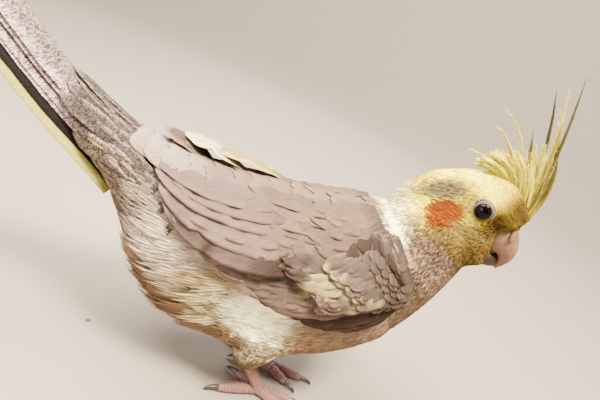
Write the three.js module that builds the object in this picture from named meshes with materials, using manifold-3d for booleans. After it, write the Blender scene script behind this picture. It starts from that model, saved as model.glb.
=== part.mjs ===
// A cockatiel standing with its tail raised and its head turned a little to its right, life size.
// Millimetres: +X is the way the body faces, +Y its left side, +Z up, and the soles lie at Z 0.
import * as THREE from "three";
import { mergeVertices } from "three/addons/utils/BufferGeometryUtils.js";
import Module from "manifold-3d";

const wasm = await Module();
wasm.setup();

// Driving sizes
const GAP = 0.3; // air left between two pieces that touch
const SIDES = 24; // sides of a ring round the trunk and the head
const TRUNK_STEPS = 24; // rings along the trunk
const NECK_SHARE = 0.72; // where the neck begins, as a share of the trunk's table
const VANE = 0.6; // thickness of a feather at its shaft
const LAYER = 0.95; // from one feather to the next one that it lies over
const MERGE = 1e-3; // points nearer than this are one

// The trunk under the wings, from the tail's root to the neck: the middle of each ring, its half
// width, its half heights above and below the middle, and how far the ring leans back, in degrees.
const TRUNK = [
  { x: -76, z: 74.5, wide: 9, up: 5.5, down: 5.5, lean: -34 },
  { x: -64, z: 69.5, wide: 15, up: 9, down: 9.5, lean: -31 },
  { x: -46, z: 59, wide: 22, up: 18, down: 30, lean: -19 },
  { x: -24, z: 53, wide: 26.5, up: 25.5, down: 36.5, lean: -6 },
  { x: 0, z: 54, wide: 28, up: 27.5, down: 35, lean: 8 },
  { x: 20, z: 60.5, wide: 26.5, up: 27.5, down: 28.5, lean: 24 },
  { x: 33, z: 71.5, wide: 22.5, up: 24.5, down: 19.5, lean: 42 },
  { x: 40.5, z: 83.5, wide: 18, up: 21, down: 15, lean: 58 },
  { x: 44, z: 95, wide: 14.5, up: 16, down: 12.5, lean: 70 },
];

// The head in a frame of its own: +X forward, +Y to its left, the eyes at X 0 and Z 0.
const HEAD_AT = { x: 48.4, y: -1.7, z: 104 };
const HEAD_YAW = -26; // degrees the head turns, towards the right side
const HEAD = [
  { x: -29, top: -11, bottom: -20, wide: 6 },
  { x: -26.5, top: -5, bottom: -25, wide: 11 },
  { x: -20, top: 2.8, bottom: -26.5, wide: 14 },
  { x: -12, top: 8, bottom: -27, wide: 15.4 },
  { x: -4, top: 11.4, bottom: -26.5, wide: 15.4 },
  { x: 3, top: 12.6, bottom: -25, wide: 14 },
  { x: 8.5, top: 11, bottom: -22, wide: 11.8 },
  { x: 12.3, top: 8.2, bottom: -17.5, wide: 8.4 },
  { x: 15, top: 5.4, bottom: -0.4, wide: 4.2 },
  { x: 16.3, top: 3.6, bottom: 1, wide: 1.8 },
];
const HEAD_STEPS = 16;
const EYE = { side: 11.6, ball: 3.8, lid: 3.6, lidAt: 14.1, lidThick: 0.75 };

// The upper beak, from its root in the face to its tip: the ridge, the cutting edge and half the
// width, in the head's frame.
const UPPER_BEAK = [
  { x: 9.5, z: -1.5, edgeX: 7.5, edgeZ: -12, wide: 5.2 },
  { x: 14, z: -1.8, edgeX: 9.6, edgeZ: -12.8, wide: 5.4 },
  { x: 17.2, z: -5.4, edgeX: 11.6, edgeZ: -13, wide: 4.9 },
  { x: 18.7, z: -9.4, edgeX: 13.2, edgeZ: -13.2, wide: 4 },
  { x: 18.7, z: -13, edgeX: 14.1, edgeZ: -14.4, wide: 2.9 },
  { x: 17.4, z: -16.2, edgeX: 14.4, edgeZ: -16, wide: 1.7 },
  { x: 15.8, z: -18.6, edgeX: 15, edgeZ: -18.2, wide: 0.5 },
];
const LOWER_BEAK = [
  { x: 6, top: -14.2, bottom: -19, wide: 4.2 },
  { x: 9.5, top: -14.2, bottom: -19.6, wide: 4.2 },
  { x: 12, top: -14.6, bottom: -19.2, wide: 3.3 },
  { x: 13.6, top: -15.4, bottom: -18, wide: 1.9 },
];
const CERE = { x: 13.9, z: -6.8, reach: 5.8, rise: 5, thick: 2.4, flat: 0.8, round: 100, steps: 8, sides: 6 };
const NOSTRIL = { side: 2.3, ahead: 1.3, up: 0.2, radius: 0.85 };

// The crest: the front feathers are the longest and stand up, and the rear ones lie back.
const CREST = { front: 13.4, rear: -6, count: 15, longest: 47, shortest: 11, lean: 17, laid: 76, twist: 42 };
const CREST_WIDTH = 3.4;

// The tail: its feathers overlap like a low roof, the middle pair on top and longest.
const TAIL = { rise: 37.5, ridge: 0.95, round: 4, droop: 0.0002, rootWidth: 2.4, fan: 1.5, width: 6.8 };
const TAIL_LENGTHS = [150, 144, 134, 121, 108, 95];
const TAIL_COVERTS = { above: [30, 42, 47], below: [34, 44, 50], width: 6.5 };

// Folded wings, feathers given as shares along the trunk and degrees down from the back.
const WING = { front: 0.735, rear: 0.42, top: 16, low: 90, bulge: 4.4, along: 9, round: 7 };

// Feet: where the ball of each foot rests, and each toe's direction and length.
const FEET = {
  right: { ball: [3.8, -10], ankle: [-7, -12.5, 17], toes: [-29, -3, 198, 150] },
  left: { ball: [5.5, 6.5], ankle: [-6, 11, 17], toes: [-10, -38, 152, 190] },
};
const TOE_LENGTHS = [18, 13.5, 16.5, 10];
const TOE_RADIUS = 2.1;
const CLAW_LENGTH = 5.5;

const rad = THREE.MathUtils.degToRad;
const vec = (x, y, z) => new THREE.Vector3(x, y, z);
const mix = THREE.MathUtils.lerp;

// A draw between -1 and 1 that is the same on every run.
function drawer(seed) {
  let state = seed;
  return () => {
    state = (state * 16807) % 2147483647;
    return (2 * state) / 2147483647 - 1;
  };
}

// Smooth values between the rows of a table, at a share from 0 to 1 of its length.
function between(rows, share) {
  const last = rows.length - 1;
  const at = Math.min(Math.max(share, 0), 1) * last;
  const i = Math.min(Math.floor(at), last - 1);
  const u = at - i;
  const row = (k) => rows[Math.min(Math.max(k, 0), last)];
  const made = {};
  for (const key of Object.keys(rows[0])) {
    const [a, b, c, d] = [row(i - 1)[key], row(i)[key], row(i + 1)[key], row(i + 2)[key]];
    made[key] =
      b + 0.5 * u * (c - a + u * (2 * a - 5 * b + 4 * c - d + u * (3 * (b - c) + d - a)));
  }
  return made;
}

// A geometry as a manifold-3d solid, turned right side out.
function solidOf(geometry) {
  for (const name of Object.keys(geometry.attributes))
    if (name !== "position") geometry.deleteAttribute(name);
  const merged = mergeVertices(geometry, MERGE);
  const make = (triVerts) =>
    new wasm.Manifold(
      new wasm.Mesh({
        numProp: 3,
        vertProperties: new Float32Array(merged.attributes.position.array),
        triVerts,
      }),
    );
  const made = make(new Uint32Array(merged.index.array));
  return made.volume() < 0 ? make(new Uint32Array(merged.index.array).reverse()) : made;
}

const solidFrom = (points, faces) =>
  solidOf(new THREE.BufferGeometry().setFromPoints(points).setIndex(faces));

// A closed solid through rings of points, each with as many points, capped flat at both ends.
function loft(rings) {
  const n = rings[0].length;
  const points = rings.flat();
  const faces = [];
  for (let i = 0; i < rings.length - 1; i++)
    for (let j = 0; j < n; j++) {
      const a = i * n + j;
      const b = i * n + ((j + 1) % n);
      faces.push(a, b, b + n, a, b + n, a + n);
    }
  for (const i of [0, rings.length - 1]) {
    const middle = rings[i].reduce((s, p) => s.add(p), vec(0, 0, 0)).divideScalar(n);
    points.push(middle);
    const hub = points.length - 1;
    for (let j = 0; j < n; j++) {
      const a = i * n + j;
      const b = i * n + ((j + 1) % n);
      faces.push(...(i ? [a, b, hub] : [b, a, hub]));
    }
  }
  return solidFrom(points, faces);
}

// A feather's vane: at(u, across, height) gives a point of it, half(u) its half width. It is
// thickest at the shaft, and its two faces are split alike.
function vane(at, half, stations, thick = VANE) {
  const points = [];
  for (const u of stations) {
    const w = half(u);
    const t = (thick / 2) * (u < 1 ? 1 : 0.6);
    const e = t * 0.85;
    points.push(at(u, -w, e), at(u, 0, t), at(u, w, e), at(u, w, -e), at(u, 0, -t), at(u, -w, -e));
  }
  const faces = [];
  for (let i = 0; i < stations.length - 1; i++)
    for (let j = 0; j < 6; j++) {
      const a = i * 6 + j;
      const b = i * 6 + ((j + 1) % 6);
      if (j === 1 || j === 4) faces.push(a, b, a + 6, b, b + 6, a + 6);
      else faces.push(a, b, b + 6, a, b + 6, a + 6);
    }
  const cap = (k, turned) => {
    for (const [a, b, c] of [[0, 1, 4], [0, 4, 5], [1, 2, 3], [1, 3, 4]])
      faces.push(...(turned ? [k + c, k + b, k + a] : [k + a, k + b, k + c]));
  };
  cap(0, true);
  cap(6 * (stations.length - 1), false);
  return solidFrom(points, faces);
}

// How wide a feather is along its length: narrow at the root, broad, then round or pointed.
const STATIONS = [0, 0.45, 0.84, 0.96, 1];
const featherHalf = (width, point = 0.7) => (u) =>
  Math.max(width * Math.min(1, 0.45 + 1.6 * u) * Math.pow(Math.max(1 - u ** 5, 0), point), 0.5);

// Pieces joined, cut, and made into a named mesh that keeps the largest closed surface.
const joined = (solids) => solids.reduce((a, b) => a.add(b));
const cut = (solid, cutters) => cutters.reduce((a, b) => a.subtract(b), solid);

const largest = (solid) => solid.decompose().sort((a, b) => b.volume() - a.volume())[0];

function geometryOf(solid) {
  const { vertProperties, triVerts } = solid.getMesh();
  return new THREE.BufferGeometry()
    .setAttribute("position", new THREE.BufferAttribute(vertProperties, 3))
    .setIndex(new THREE.BufferAttribute(triVerts, 1));
}

function node(name, solid, colour, roughness = 0.75) {
  // Merging points that nearly touch can close off a hollow, so the largest surface is taken again.
  const merged = mergeVertices(geometryOf(largest(solid)), MERGE);
  const geometry = geometryOf(largest(solidOf(merged)));
  geometry.computeVertexNormals();
  const material = new THREE.MeshStandardMaterial({ color: colour, roughness, metalness: 0 });
  const mesh = new THREE.Mesh(geometry, material);
  mesh.name = name;
  return mesh;
}

// A round tapering tube through points, with a radius at each, its underside kept at a floor level.
function limb(path, radii, sides = 10, floor = -Infinity) {
  const curve = new THREE.CatmullRomCurve3(path);
  const steps = (path.length - 1) * 2;
  const rings = [];
  for (let i = 0; i <= steps; i++) {
    const u = i / steps;
    const p = curve.getPoint(u);
    const along = curve.getTangent(u);
    const side = vec(0, 0, 1).cross(along).normalize();
    const up = along.clone().cross(side);
    const at = u * (radii.length - 1);
    const k = Math.min(Math.floor(at), radii.length - 2);
    const r = mix(radii[k], radii[k + 1], at - k);
    const ring = [];
    for (let j = 0; j < sides; j++) {
      const t = (2 * Math.PI * (j + 0.5)) / sides;
      const q = p.clone().addScaledVector(side, r * Math.sin(t)).addScaledVector(up, r * Math.cos(t));
      q.z = Math.max(q.z, floor);
      ring.push(q);
    }
    rings.push(ring);
  }
  return loft(rings);
}

// Trunk

// A point of the trunk, grown outwards: a share along it from the tail, and degrees round it from
// the middle of the back, towards the right side where positive.
function trunkPoint(share, round, grown = 0) {
  const s = between(TRUNK, share);
  const t = rad(round);
  const side = -Math.sin(t) * (s.wide + grown);
  const rise = Math.cos(t) * ((Math.cos(t) > 0 ? s.up : s.down) + grown);
  const lean = rad(s.lean);
  return vec(s.x - Math.sin(lean) * rise, side, s.z + Math.cos(lean) * rise);
}

function trunkSolid(from, to, grown = 0) {
  const steps = Math.max(3, Math.round(TRUNK_STEPS * (to - from)));
  const rings = [];
  for (let i = 0; i <= steps; i++) {
    const ring = [];
    for (let j = 0; j < SIDES; j++)
      ring.push(trunkPoint(mix(from, to, i / steps), (360 * j) / SIDES, grown));
    rings.push(ring);
  }
  return loft(rings);
}

// Head

const headFrame = new THREE.Matrix4()
  .makeTranslation(HEAD_AT.x, HEAD_AT.y, HEAD_AT.z)
  .multiply(new THREE.Matrix4().makeRotationZ(rad(HEAD_YAW)));
const headPoint = (x, y, z) => vec(x, y, z).applyMatrix4(headFrame);

function headSolid(grown = 0) {
  const rings = [];
  for (let i = 0; i <= HEAD_STEPS; i++) {
    const s = between(HEAD, i / HEAD_STEPS);
    const middle = (s.top + s.bottom) / 2;
    const high = (s.top - s.bottom) / 2 + grown;
    const ring = [];
    for (let j = 0; j < SIDES; j++) {
      const t = rad((360 * j) / SIDES);
      ring.push(headPoint(s.x, -Math.sin(t) * (s.wide + grown), middle + Math.cos(t) * high));
    }
    rings.push(ring);
  }
  return loft(rings);
}

// The height of the crown above the eyes, at a place along the head.
function crownAt(x) {
  const i = HEAD.findIndex((s) => s.x > x);
  const [a, b] = [HEAD[i - 1], HEAD[i]];
  return mix(a.top, b.top, (x - a.x) / (b.x - a.x));
}

function ballAt(x, y, z, radius, across = 14, down = 8) {
  const p = headPoint(x, y, z);
  return solidOf(new THREE.SphereGeometry(radius, across, down).translate(p.x, p.y, p.z));
}

function lid(side) {
  const ring = new THREE.TorusGeometry(EYE.lid, EYE.lidThick, 5, 16)
    .rotateX(Math.PI / 2)
    .translate(0, side * EYE.lidAt, 0)
    .applyMatrix4(headFrame);
  return solidOf(ring);
}

function upperBeak(grown = 0) {
  const rings = UPPER_BEAK.map((s) => {
    const ridge = vec(s.x, 0, s.z);
    const edge = vec(s.edgeX, 0, s.edgeZ);
    const out = ridge.clone().sub(edge).normalize();
    const middle = ridge.clone().add(edge).multiplyScalar(0.5);
    const high = ridge.distanceTo(edge) / 2 + grown;
    const ring = [];
    for (let j = 0; j < 14; j++) {
      const t = (2 * Math.PI * j) / 14;
      const squared = Math.cos(t) < 0 ? 0.75 : 1;
      const p = middle.clone().addScaledVector(out, Math.cos(t) * high);
      const y = Math.sign(Math.sin(t)) * Math.abs(Math.sin(t)) ** squared * (s.wide + grown);
      ring.push(headPoint(p.x, y, p.z));
    }
    return ring;
  });
  return loft(rings);
}

function lowerBeak(grown = 0) {
  const rings = LOWER_BEAK.map((s) => {
    const middle = (s.top + s.bottom) / 2;
    const ring = [];
    for (let j = 0; j < 12; j++) {
      const t = (2 * Math.PI * j) / 12;
      const high = (s.top - s.bottom) / 2 + grown;
      ring.push(headPoint(s.x, Math.sin(t) * (s.wide + grown), middle + Math.cos(t) * high));
    }
    return ring;
  });
  return loft(rings);
}

// The soft band over the beak's root, from cheek to cheek, that the nostrils open in.
function cere(grown = 0) {
  const rings = [];
  for (let i = 0; i <= CERE.steps; i++) {
    const t = rad(mix(-CERE.round, CERE.round, i / CERE.steps));
    const out = vec(0, Math.sin(t), Math.cos(t));
    const middle = vec(CERE.x, Math.sin(t) * CERE.reach, CERE.z + Math.cos(t) * CERE.rise);
    const thick = CERE.thick * (0.75 + 0.25 * Math.cos(t)) + grown;
    const ring = [];
    for (let j = 0; j < CERE.sides; j++) {
      const a = (2 * Math.PI * j) / CERE.sides;
      const p = middle.clone().addScaledVector(out, Math.cos(a) * thick * CERE.flat);
      ring.push(headPoint(p.x + Math.sin(a) * thick, p.y, p.z));
    }
    rings.push(ring);
  }
  return loft(rings);
}

function crestFeathers() {
  const draw = drawer(7);
  const made = [];
  for (let i = 0; i < CREST.count; i++) {
    const back = i / (CREST.count - 1);
    const x = mix(CREST.front, CREST.rear, back);
    const short = [1, 0.62, 0.84][i % 3];
    const length = mix(CREST.shortest, CREST.longest, (1 - back) ** 1.6) * short;
    const lean = rad(mix(CREST.lean, CREST.laid, back ** 1.1) + 4 * draw());
    const side = (i % 2 ? 1 : -1) * mix(0.4, 2.4, back);
    const root = vec(x, side, crownAt(x) - 2.6);
    const tip = root.clone().add(vec(-Math.sin(lean), 0.05 * side, Math.cos(lean)).multiplyScalar(length));
    const knee = root.clone().add(vec(-Math.sin(lean / 2), 0, Math.cos(lean / 2)).multiplyScalar(length / 2));
    const curve = new THREE.QuadraticBezierCurve3(root, knee, tip);
    const twist = rad((i % 2 ? 1 : -1) * CREST.twist + 12 * draw());
    const at = (u, across, height) => {
      const along = curve.getTangent(u);
      const flat = vec(0, 1, 0).applyAxisAngle(along, twist);
      const up = along.clone().cross(flat);
      const p = curve.getPoint(u).addScaledVector(flat, across).addScaledVector(up, height);
      return p.applyMatrix4(headFrame);
    };
    made.push(vane(at, featherHalf(CREST_WIDTH / 2, 0.9), [0, 0.35, 0.7, 0.9, 1], VANE));
  }
  return made;
}

// Tail

const tailRoot = between(TRUNK, 0);
function tailPoint(along, across, height) {
  const rise = rad(TAIL.rise);
  const roof = TAIL.ridge * (Math.hypot(across, TAIL.round) - TAIL.round);
  const h = height - roof - TAIL.droop * along ** 2;
  return vec(
    tailRoot.x - Math.cos(rise) * along + Math.sin(rise) * h,
    across,
    tailRoot.z + Math.sin(rise) * along + Math.cos(rise) * h,
  );
}

function tailFeather({ root, fan, length, level, width, start = 3 }) {
  const at = (u, across, height) => {
    const along = start + u * (length - start);
    return tailPoint(along, root + Math.tan(rad(fan)) * along + across, level + height);
  };
  return vane(at, featherHalf(width, 0.55), STATIONS);
}

function tailSolid() {
  const made = [];
  TAIL_LENGTHS.forEach((length, k) => {
    for (const side of [-1, 1]) {
      const level = 2 - LAYER * (k < 2 ? 2 * k + (side > 0 ? 1 : 0) : k + 2);
      const root = side * (TAIL.rootWidth + 1.2 * k);
      made.push(
        tailFeather({ root, fan: side * (0.8 + TAIL.fan * k), length, level, width: TAIL.width }),
      );
    }
  });
  const tiers = [
    [TAIL_COVERTS.above, 2 + 1.5 * LAYER, LAYER],
    [TAIL_COVERTS.below, 2 - 8.4 * LAYER, -LAYER],
  ];
  for (const [lengths, base, step] of tiers)
    lengths.forEach((length, k) => {
      for (const side of [-1, 1]) {
        const level = base + step * (2 - k) * (side > 0 ? 1.15 : 0.9);
        const root = side * (6.4 - 1.9 * k);
        made.push(
          tailFeather({ root, fan: side * (3 - k), length, level, width: TAIL_COVERTS.width, start: 1 }),
        );
      }
    });
  return cut(joined([tailStub(), ...made]), [trunkSolid(0, 1, GAP)]);
}

// The fleshy root that the tail feathers grow from.
function tailStub() {
  const rings = [];
  for (let i = 0; i <= 4; i++) {
    const u = i / 4;
    const ring = [];
    for (let j = 0; j < SIDES / 2; j++) {
      const t = (4 * Math.PI * j) / SIDES;
      const wide = mix(tailRoot.wide, 4, u);
      const high = mix(tailRoot.up, 2.5, u);
      const rise = rad(TAIL.rise);
      const along = mix(GAP, 22, u);
      const h = Math.cos(t) * high - 4 * u;
      ring.push(
        vec(
          tailRoot.x - Math.cos(rise) * along + Math.sin(rise) * h,
          -Math.sin(t) * wide,
          tailRoot.z + Math.sin(rise) * along + Math.cos(rise) * h,
        ),
      );
    }
    rings.push(ring);
  }
  return loft(rings);
}

// Wings

// The shell of the arm and its small feathers, thick in the middle and thin at its rim.
function wingShell(side) {
  const { along, round } = WING;
  const points = [];
  for (const outer of [1, 0])
    for (let i = 0; i <= along; i++)
      for (let j = 0; j <= round; j++) {
        const a = i / along;
        const b = j / round;
        const arm = Math.min(1, 1.25 * a) * (1 - a ** 8) ** 0.5;
        const lift = GAP + outer * (0.7 + WING.bulge * arm * Math.sin(Math.PI * b) ** 0.4);
        const share = mix(WING.rear, WING.front, a);
        points.push(trunkPoint(share, side * mix(WING.top + 26 * a * a, WING.low - 6 * (1 - a), b), lift));
      }
  const at = (outer, i, j) => (outer ? 0 : (along + 1) * (round + 1)) + i * (round + 1) + j;
  const faces = [];
  const quad = (a, b, c, d) => faces.push(a, b, c, a, c, d);
  for (let i = 0; i < along; i++)
    for (let j = 0; j < round; j++) {
      quad(at(1, i, j), at(1, i + 1, j), at(1, i + 1, j + 1), at(1, i, j + 1));
      faces.push(at(0, i, j), at(0, i + 1, j + 1), at(0, i + 1, j));
      faces.push(at(0, i, j), at(0, i, j + 1), at(0, i + 1, j + 1));
    }
  for (let i = 0; i < along; i++) {
    quad(at(0, i, 0), at(0, i + 1, 0), at(1, i + 1, 0), at(1, i, 0));
    quad(at(1, i, round), at(1, i + 1, round), at(0, i + 1, round), at(0, i, round));
  }
  for (let j = 0; j < round; j++) {
    quad(at(0, 0, j + 1), at(0, 0, j), at(1, 0, j), at(1, 0, j + 1));
    quad(at(1, along, j + 1), at(1, along, j), at(0, along, j), at(0, along, j + 1));
  }
  return solidFrom(points, faces);
}

// A wing feather that lies on the trunk, from a root under its tier to its tip.
function wingFeather(side, { root, tip, lift, width, arch = 0, tilt = 0.13, point = 0.5 }) {
  const at = (u, across, height) => {
    const share = mix(root[0], tip[0], u);
    const round = mix(root[1], tip[1], u ** 0.8);
    const reach = between(TRUNK, share).wide;
    const level = mix(lift[0], lift[1], u) + arch * Math.sin(Math.PI * u) + tilt * across + height;
    return trunkPoint(share, side * (round + THREE.MathUtils.radToDeg(across / reach)), level);
  };
  return vane(at, featherHalf(width, point), STATIONS);
}

// A tier of feathers, evenly spread between its first and its last one.
function wingTier(side, { count, first, last, seed, stagger = 0, ...form }) {
  const draw = drawer(seed);
  const made = [];
  for (let k = 0; k < count; k++) {
    const u = k / (count - 1);
    const spread = (a, b) => [mix(a[0], b[0], u), mix(a[1], b[1], u)];
    const tip = spread(first.tip, last.tip);
    tip[0] += 0.006 * draw() + (k % 2) * stagger;
    tip[1] += 1.2 * draw();
    made.push(wingFeather(side, { root: spread(first.root, last.root), tip, ...form }));
  }
  return made;
}

function wingSolid(side) {
  const tiers = [
    // primaries
    { count: 4, first: { root: [0.62, 79], tip: [0.32, 83] }, last: { root: [0.66, 85], tip: [0.47, 93] },
      lift: [1.4, 1], width: 3.6, seed: 3 },
    // secondaries
    { count: 7, first: { root: [0.55, 52], tip: [0.22, 75] }, last: { root: [0.62, 78], tip: [0.43, 84] },
      lift: [1.6, 2.1], width: 4.8, seed: 5 },
    // tertials
    { count: 5, first: { root: [0.46, 20], tip: [0.11, 36] }, last: { root: [0.54, 50], tip: [0.16, 70] },
      lift: [1.2, 1], arch: 3, width: 5.8, tilt: 0.2, stagger: 0.035, seed: 11 },
    // greater coverts
    { count: 6, first: { root: [0.6, 53], tip: [0.42, 63] }, last: { root: [0.65, 76], tip: [0.52, 84] },
      lift: [3, 4.9], width: 4.8, tilt: 0.2, stagger: 0.02, seed: 13 },
    // scapulars
    { count: 5, first: { root: [0.6, 20], tip: [0.34, 17] }, last: { root: [0.62, 45], tip: [0.3, 53] },
      lift: [2.2, 3.6], width: 6, tilt: 0.24, stagger: 0.06, seed: 17 },
  ];
  const feathers = tiers.flatMap((tier) => wingTier(side, tier));
  return joined([wingShell(side), ...feathers]);
}

// Legs

function thighSolid(side) {
  const foot = side > 0 ? FEET.right : FEET.left;
  const ankle = vec(...foot.ankle);
  const knee = vec(-5, ankle.y * 1.1, 38);
  const path = [knee, knee.clone().lerp(ankle, 0.55), ankle.clone().add(vec(0, 0, -2))];
  return cut(limb(path, [15.5, 9.5, 4.4], 12), [trunkSolid(0, NECK_SHARE, GAP), shankSolid(foot, GAP)]);
}

const toePath = (foot, degrees, length) =>
  [0, 0.35, 0.7, 1].map((u) =>
    vec(
      foot.ball[0] + Math.cos(rad(degrees)) * length * u,
      foot.ball[1] + Math.sin(rad(degrees)) * length * u,
      TOE_RADIUS * mix(1, 0.84, u),
    ),
  );

function shankSolid(foot, grown = 0) {
  const ankle = vec(...foot.ankle);
  const ball = vec(foot.ball[0], foot.ball[1], 2.6);
  const middle = ankle.clone().lerp(ball, 0.5);
  const top = ankle.clone().add(ankle.clone().sub(ball).setLength(grown));
  return limb([top, middle, ball], [2.5, 2.1, 2.6].map((r) => r + grown), 8, 0);
}

function footSolid(foot) {
  const shank = shankSolid(foot);
  const toes = foot.toes.map((degrees, k) =>
    limb(toePath(foot, degrees, TOE_LENGTHS[k]), [2.3, 2.15, 2, 2.1, 1.75, 1.5], 8, 0),
  );
  return joined([shank, ...toes]);
}

function clawSolid(foot, k) {
  const turn = rad(foot.toes[k]);
  const way = vec(Math.cos(turn), Math.sin(turn), 0);
  const root = vec(foot.ball[0], foot.ball[1], 0).addScaledVector(way, TOE_LENGTHS[k] + GAP);
  const point = (u, z) => root.clone().addScaledVector(way, CLAW_LENGTH * u).setZ(z);
  const path = [point(0, 1.75), point(0.4, 1.95), point(0.8, 1.4), point(1, 0.55)];
  return limb(path, [1.1, 0.95, 0.6, 0.25], 6, 0);
}

// Assembly

const PLUMAGE = 0xb3a08e;
const YELLOW = 0xf0e48a;
const CREAM = 0xdcd2b4;
const HORN = 0xc28b6c;
const SKIN = 0xd09a8a;
const CLAW = 0x6d5a50;
const IRIS = 0x1a1012;

const part = new THREE.Group();
const neckFrom = NECK_SHARE + 0.0025;
const headWhole = joined([headSolid(), lid(1), lid(-1), ...crestFeathers()]);
const sockets = [1, -1].map((side) => ballAt(0, side * EYE.side, 0, EYE.ball + GAP));
part.add(node("torso", trunkSolid(0, NECK_SHARE), CREAM));
part.add(node("neck", cut(trunkSolid(neckFrom, 1), [headSolid(GAP)]), PLUMAGE));
part.add(
  node("head", cut(headWhole, [...sockets, upperBeak(GAP), lowerBeak(GAP), cere(GAP)]), YELLOW),
);
for (const [name, side] of [["left", 1], ["right", -1]])
  part.add(node(`eye_${name}`, ballAt(0, side * EYE.side, 0, EYE.ball), IRIS, 0.08));

const nostrils = [1, -1].map((side) =>
  ballAt(
    CERE.x + NOSTRIL.ahead,
    side * NOSTRIL.side,
    CERE.z + CERE.rise + NOSTRIL.up,
    NOSTRIL.radius,
    8,
    6,
  ),
);
part.add(node("beak_upper", upperBeak(), HORN, 0.4));
part.add(node("beak_lower", cut(lowerBeak(), [upperBeak(GAP)]), HORN, 0.4));
part.add(node("cere", cut(cere(), [...nostrils, upperBeak(GAP), headSolid(-2)]), SKIN));

part.add(node("tail", tailSolid(), PLUMAGE));
for (const [name, side] of [["left", -1], ["right", 1]]) {
  part.add(node(`wing_${name}`, wingSolid(side), PLUMAGE));
  const foot = FEET[name];
  const footWhole = footSolid(foot);
  part.add(node(`foot_${name}`, footWhole, SKIN, 0.6));
  part.add(node(`thigh_${name}`, thighSolid(side), CREAM));
  foot.toes.forEach((_, k) => part.add(node(`claw_${name}_${k + 1}`, clawSolid(foot, k), CLAW, 0.4)));
}

// The origin is on the floor, under the middle of the whole bird's box.
const box = new THREE.Box3().setFromObject(part);
part.position.set(-(box.min.x + box.max.x) / 2, -(box.min.y + box.max.y) / 2, 0);

export default part;
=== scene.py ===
"""A cockatiel standing with its tail raised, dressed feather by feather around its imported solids.

Lengths are millimetres in the bird's own frame, +X ahead, +Y to its left, +Z up and the soles at Z 0,
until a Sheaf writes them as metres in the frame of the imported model.
"""
import logging
import math
from collections.abc import Callable
from dataclasses import dataclass, field
from enum import Enum

import bmesh
import bpy
import numpy as np
from mathutils import Matrix, Vector
from mathutils.bvhtree import BVHTree
from mathutils.kdtree import KDTree


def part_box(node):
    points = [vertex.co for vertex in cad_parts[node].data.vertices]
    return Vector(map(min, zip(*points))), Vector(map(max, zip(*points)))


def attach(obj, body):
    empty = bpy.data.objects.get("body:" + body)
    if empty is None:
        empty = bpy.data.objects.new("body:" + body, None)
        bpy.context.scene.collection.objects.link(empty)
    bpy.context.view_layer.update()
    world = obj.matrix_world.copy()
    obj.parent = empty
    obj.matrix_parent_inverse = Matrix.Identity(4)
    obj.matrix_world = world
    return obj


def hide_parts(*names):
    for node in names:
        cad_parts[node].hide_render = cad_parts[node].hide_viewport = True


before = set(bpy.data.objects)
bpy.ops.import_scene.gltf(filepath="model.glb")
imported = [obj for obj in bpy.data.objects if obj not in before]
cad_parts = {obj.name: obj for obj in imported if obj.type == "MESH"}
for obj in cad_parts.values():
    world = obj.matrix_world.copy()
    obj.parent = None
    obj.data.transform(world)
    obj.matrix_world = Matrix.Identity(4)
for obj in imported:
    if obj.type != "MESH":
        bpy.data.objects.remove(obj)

LOG = logging.getLogger("cockatiel")
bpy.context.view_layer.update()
MM = 0.001
ROOT = "root"

# The trunk under the wings, tail end first: x, z, half width, height above and below, lean in degrees.
TRUNK = np.array([
    (-76, 74.5, 9, 5.5, 5.5, -34),
    (-64, 69.5, 15, 9, 9.5, -31),
    (-46, 59, 22, 18, 30, -19),
    (-24, 53, 26.5, 25.5, 36.5, -6),
    (0, 54, 28, 27.5, 35, 8),
    (20, 60.5, 26.5, 27.5, 28.5, 24),
    (33, 71.5, 22.5, 24.5, 19.5, 42),
    (40.5, 83.5, 18, 21, 15, 58),
    (44, 95, 14.5, 16, 12.5, 70),
], float)
# The head in a frame of its own, the eyes at X 0 and Z 0: x, top, bottom, half width.
HEAD = np.array([
    (-29, -11, -20, 6),
    (-26.5, -5, -25, 11),
    (-20, 2.8, -26.5, 14),
    (-12, 8, -27, 15.4),
    (-4, 11.4, -26.5, 15.4),
    (3, 12.6, -25, 14),
    (8.5, 11, -22, 11.8),
    (12.3, 8.2, -17.5, 8.4),
    (15, 5.4, -0.4, 4.2),
    (16.3, 3.6, 1, 1.8),
], float)
HEAD_AT = np.array((48.4, -1.7, 104.0))
HEAD_YAW = math.radians(-26)
EYE_SIDE = 11.6
# The upper beak, root to tip: ridge x and z, cutting edge x and z, half width, in the head's frame.
UPPER_BEAK = np.array([
    (9.5, -1.5, 7.5, -12, 5.2),
    (14, -1.8, 9.6, -12.8, 5.4),
    (17.2, -5.4, 11.6, -13, 4.9),
    (18.7, -9.4, 13.2, -13.2, 4),
    (18.7, -13, 14.1, -14.4, 2.9),
    (17.4, -16.2, 14.4, -16, 1.7),
    (15.8, -18.6, 15, -18.2, 0.5),
], float)
# The lower beak, root to tip: x, top, bottom, half width.
LOWER_BEAK = np.array([
    (6, -13.4, -19, 4.2),
    (9.5, -13.0, -19.6, 4.2),
    (12.4, -13.0, -19.3, 3.5),
    (14.9, -13.9, -18, 2.2),
], float)


class Side(Enum):
    """The bird's two sides, as the sign that turns round its trunk from the middle of the back."""

    LEFT = -1
    RIGHT = 1


def linear(code: str) -> np.ndarray:
    """Turns an sRGB hex colour to linear light.

    Args:
        code: Six hex digits, with or without a leading hash.

    Returns:
        Three linear values from 0 to 1.
    """
    digits = code.lstrip("#")
    value = np.array([int(digits[i:i + 2], 16) for i in (0, 2, 4)], float) / 255
    return np.where(value <= 0.04045, value / 12.92, ((value + 0.055) / 1.055) ** 2.4)


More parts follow.
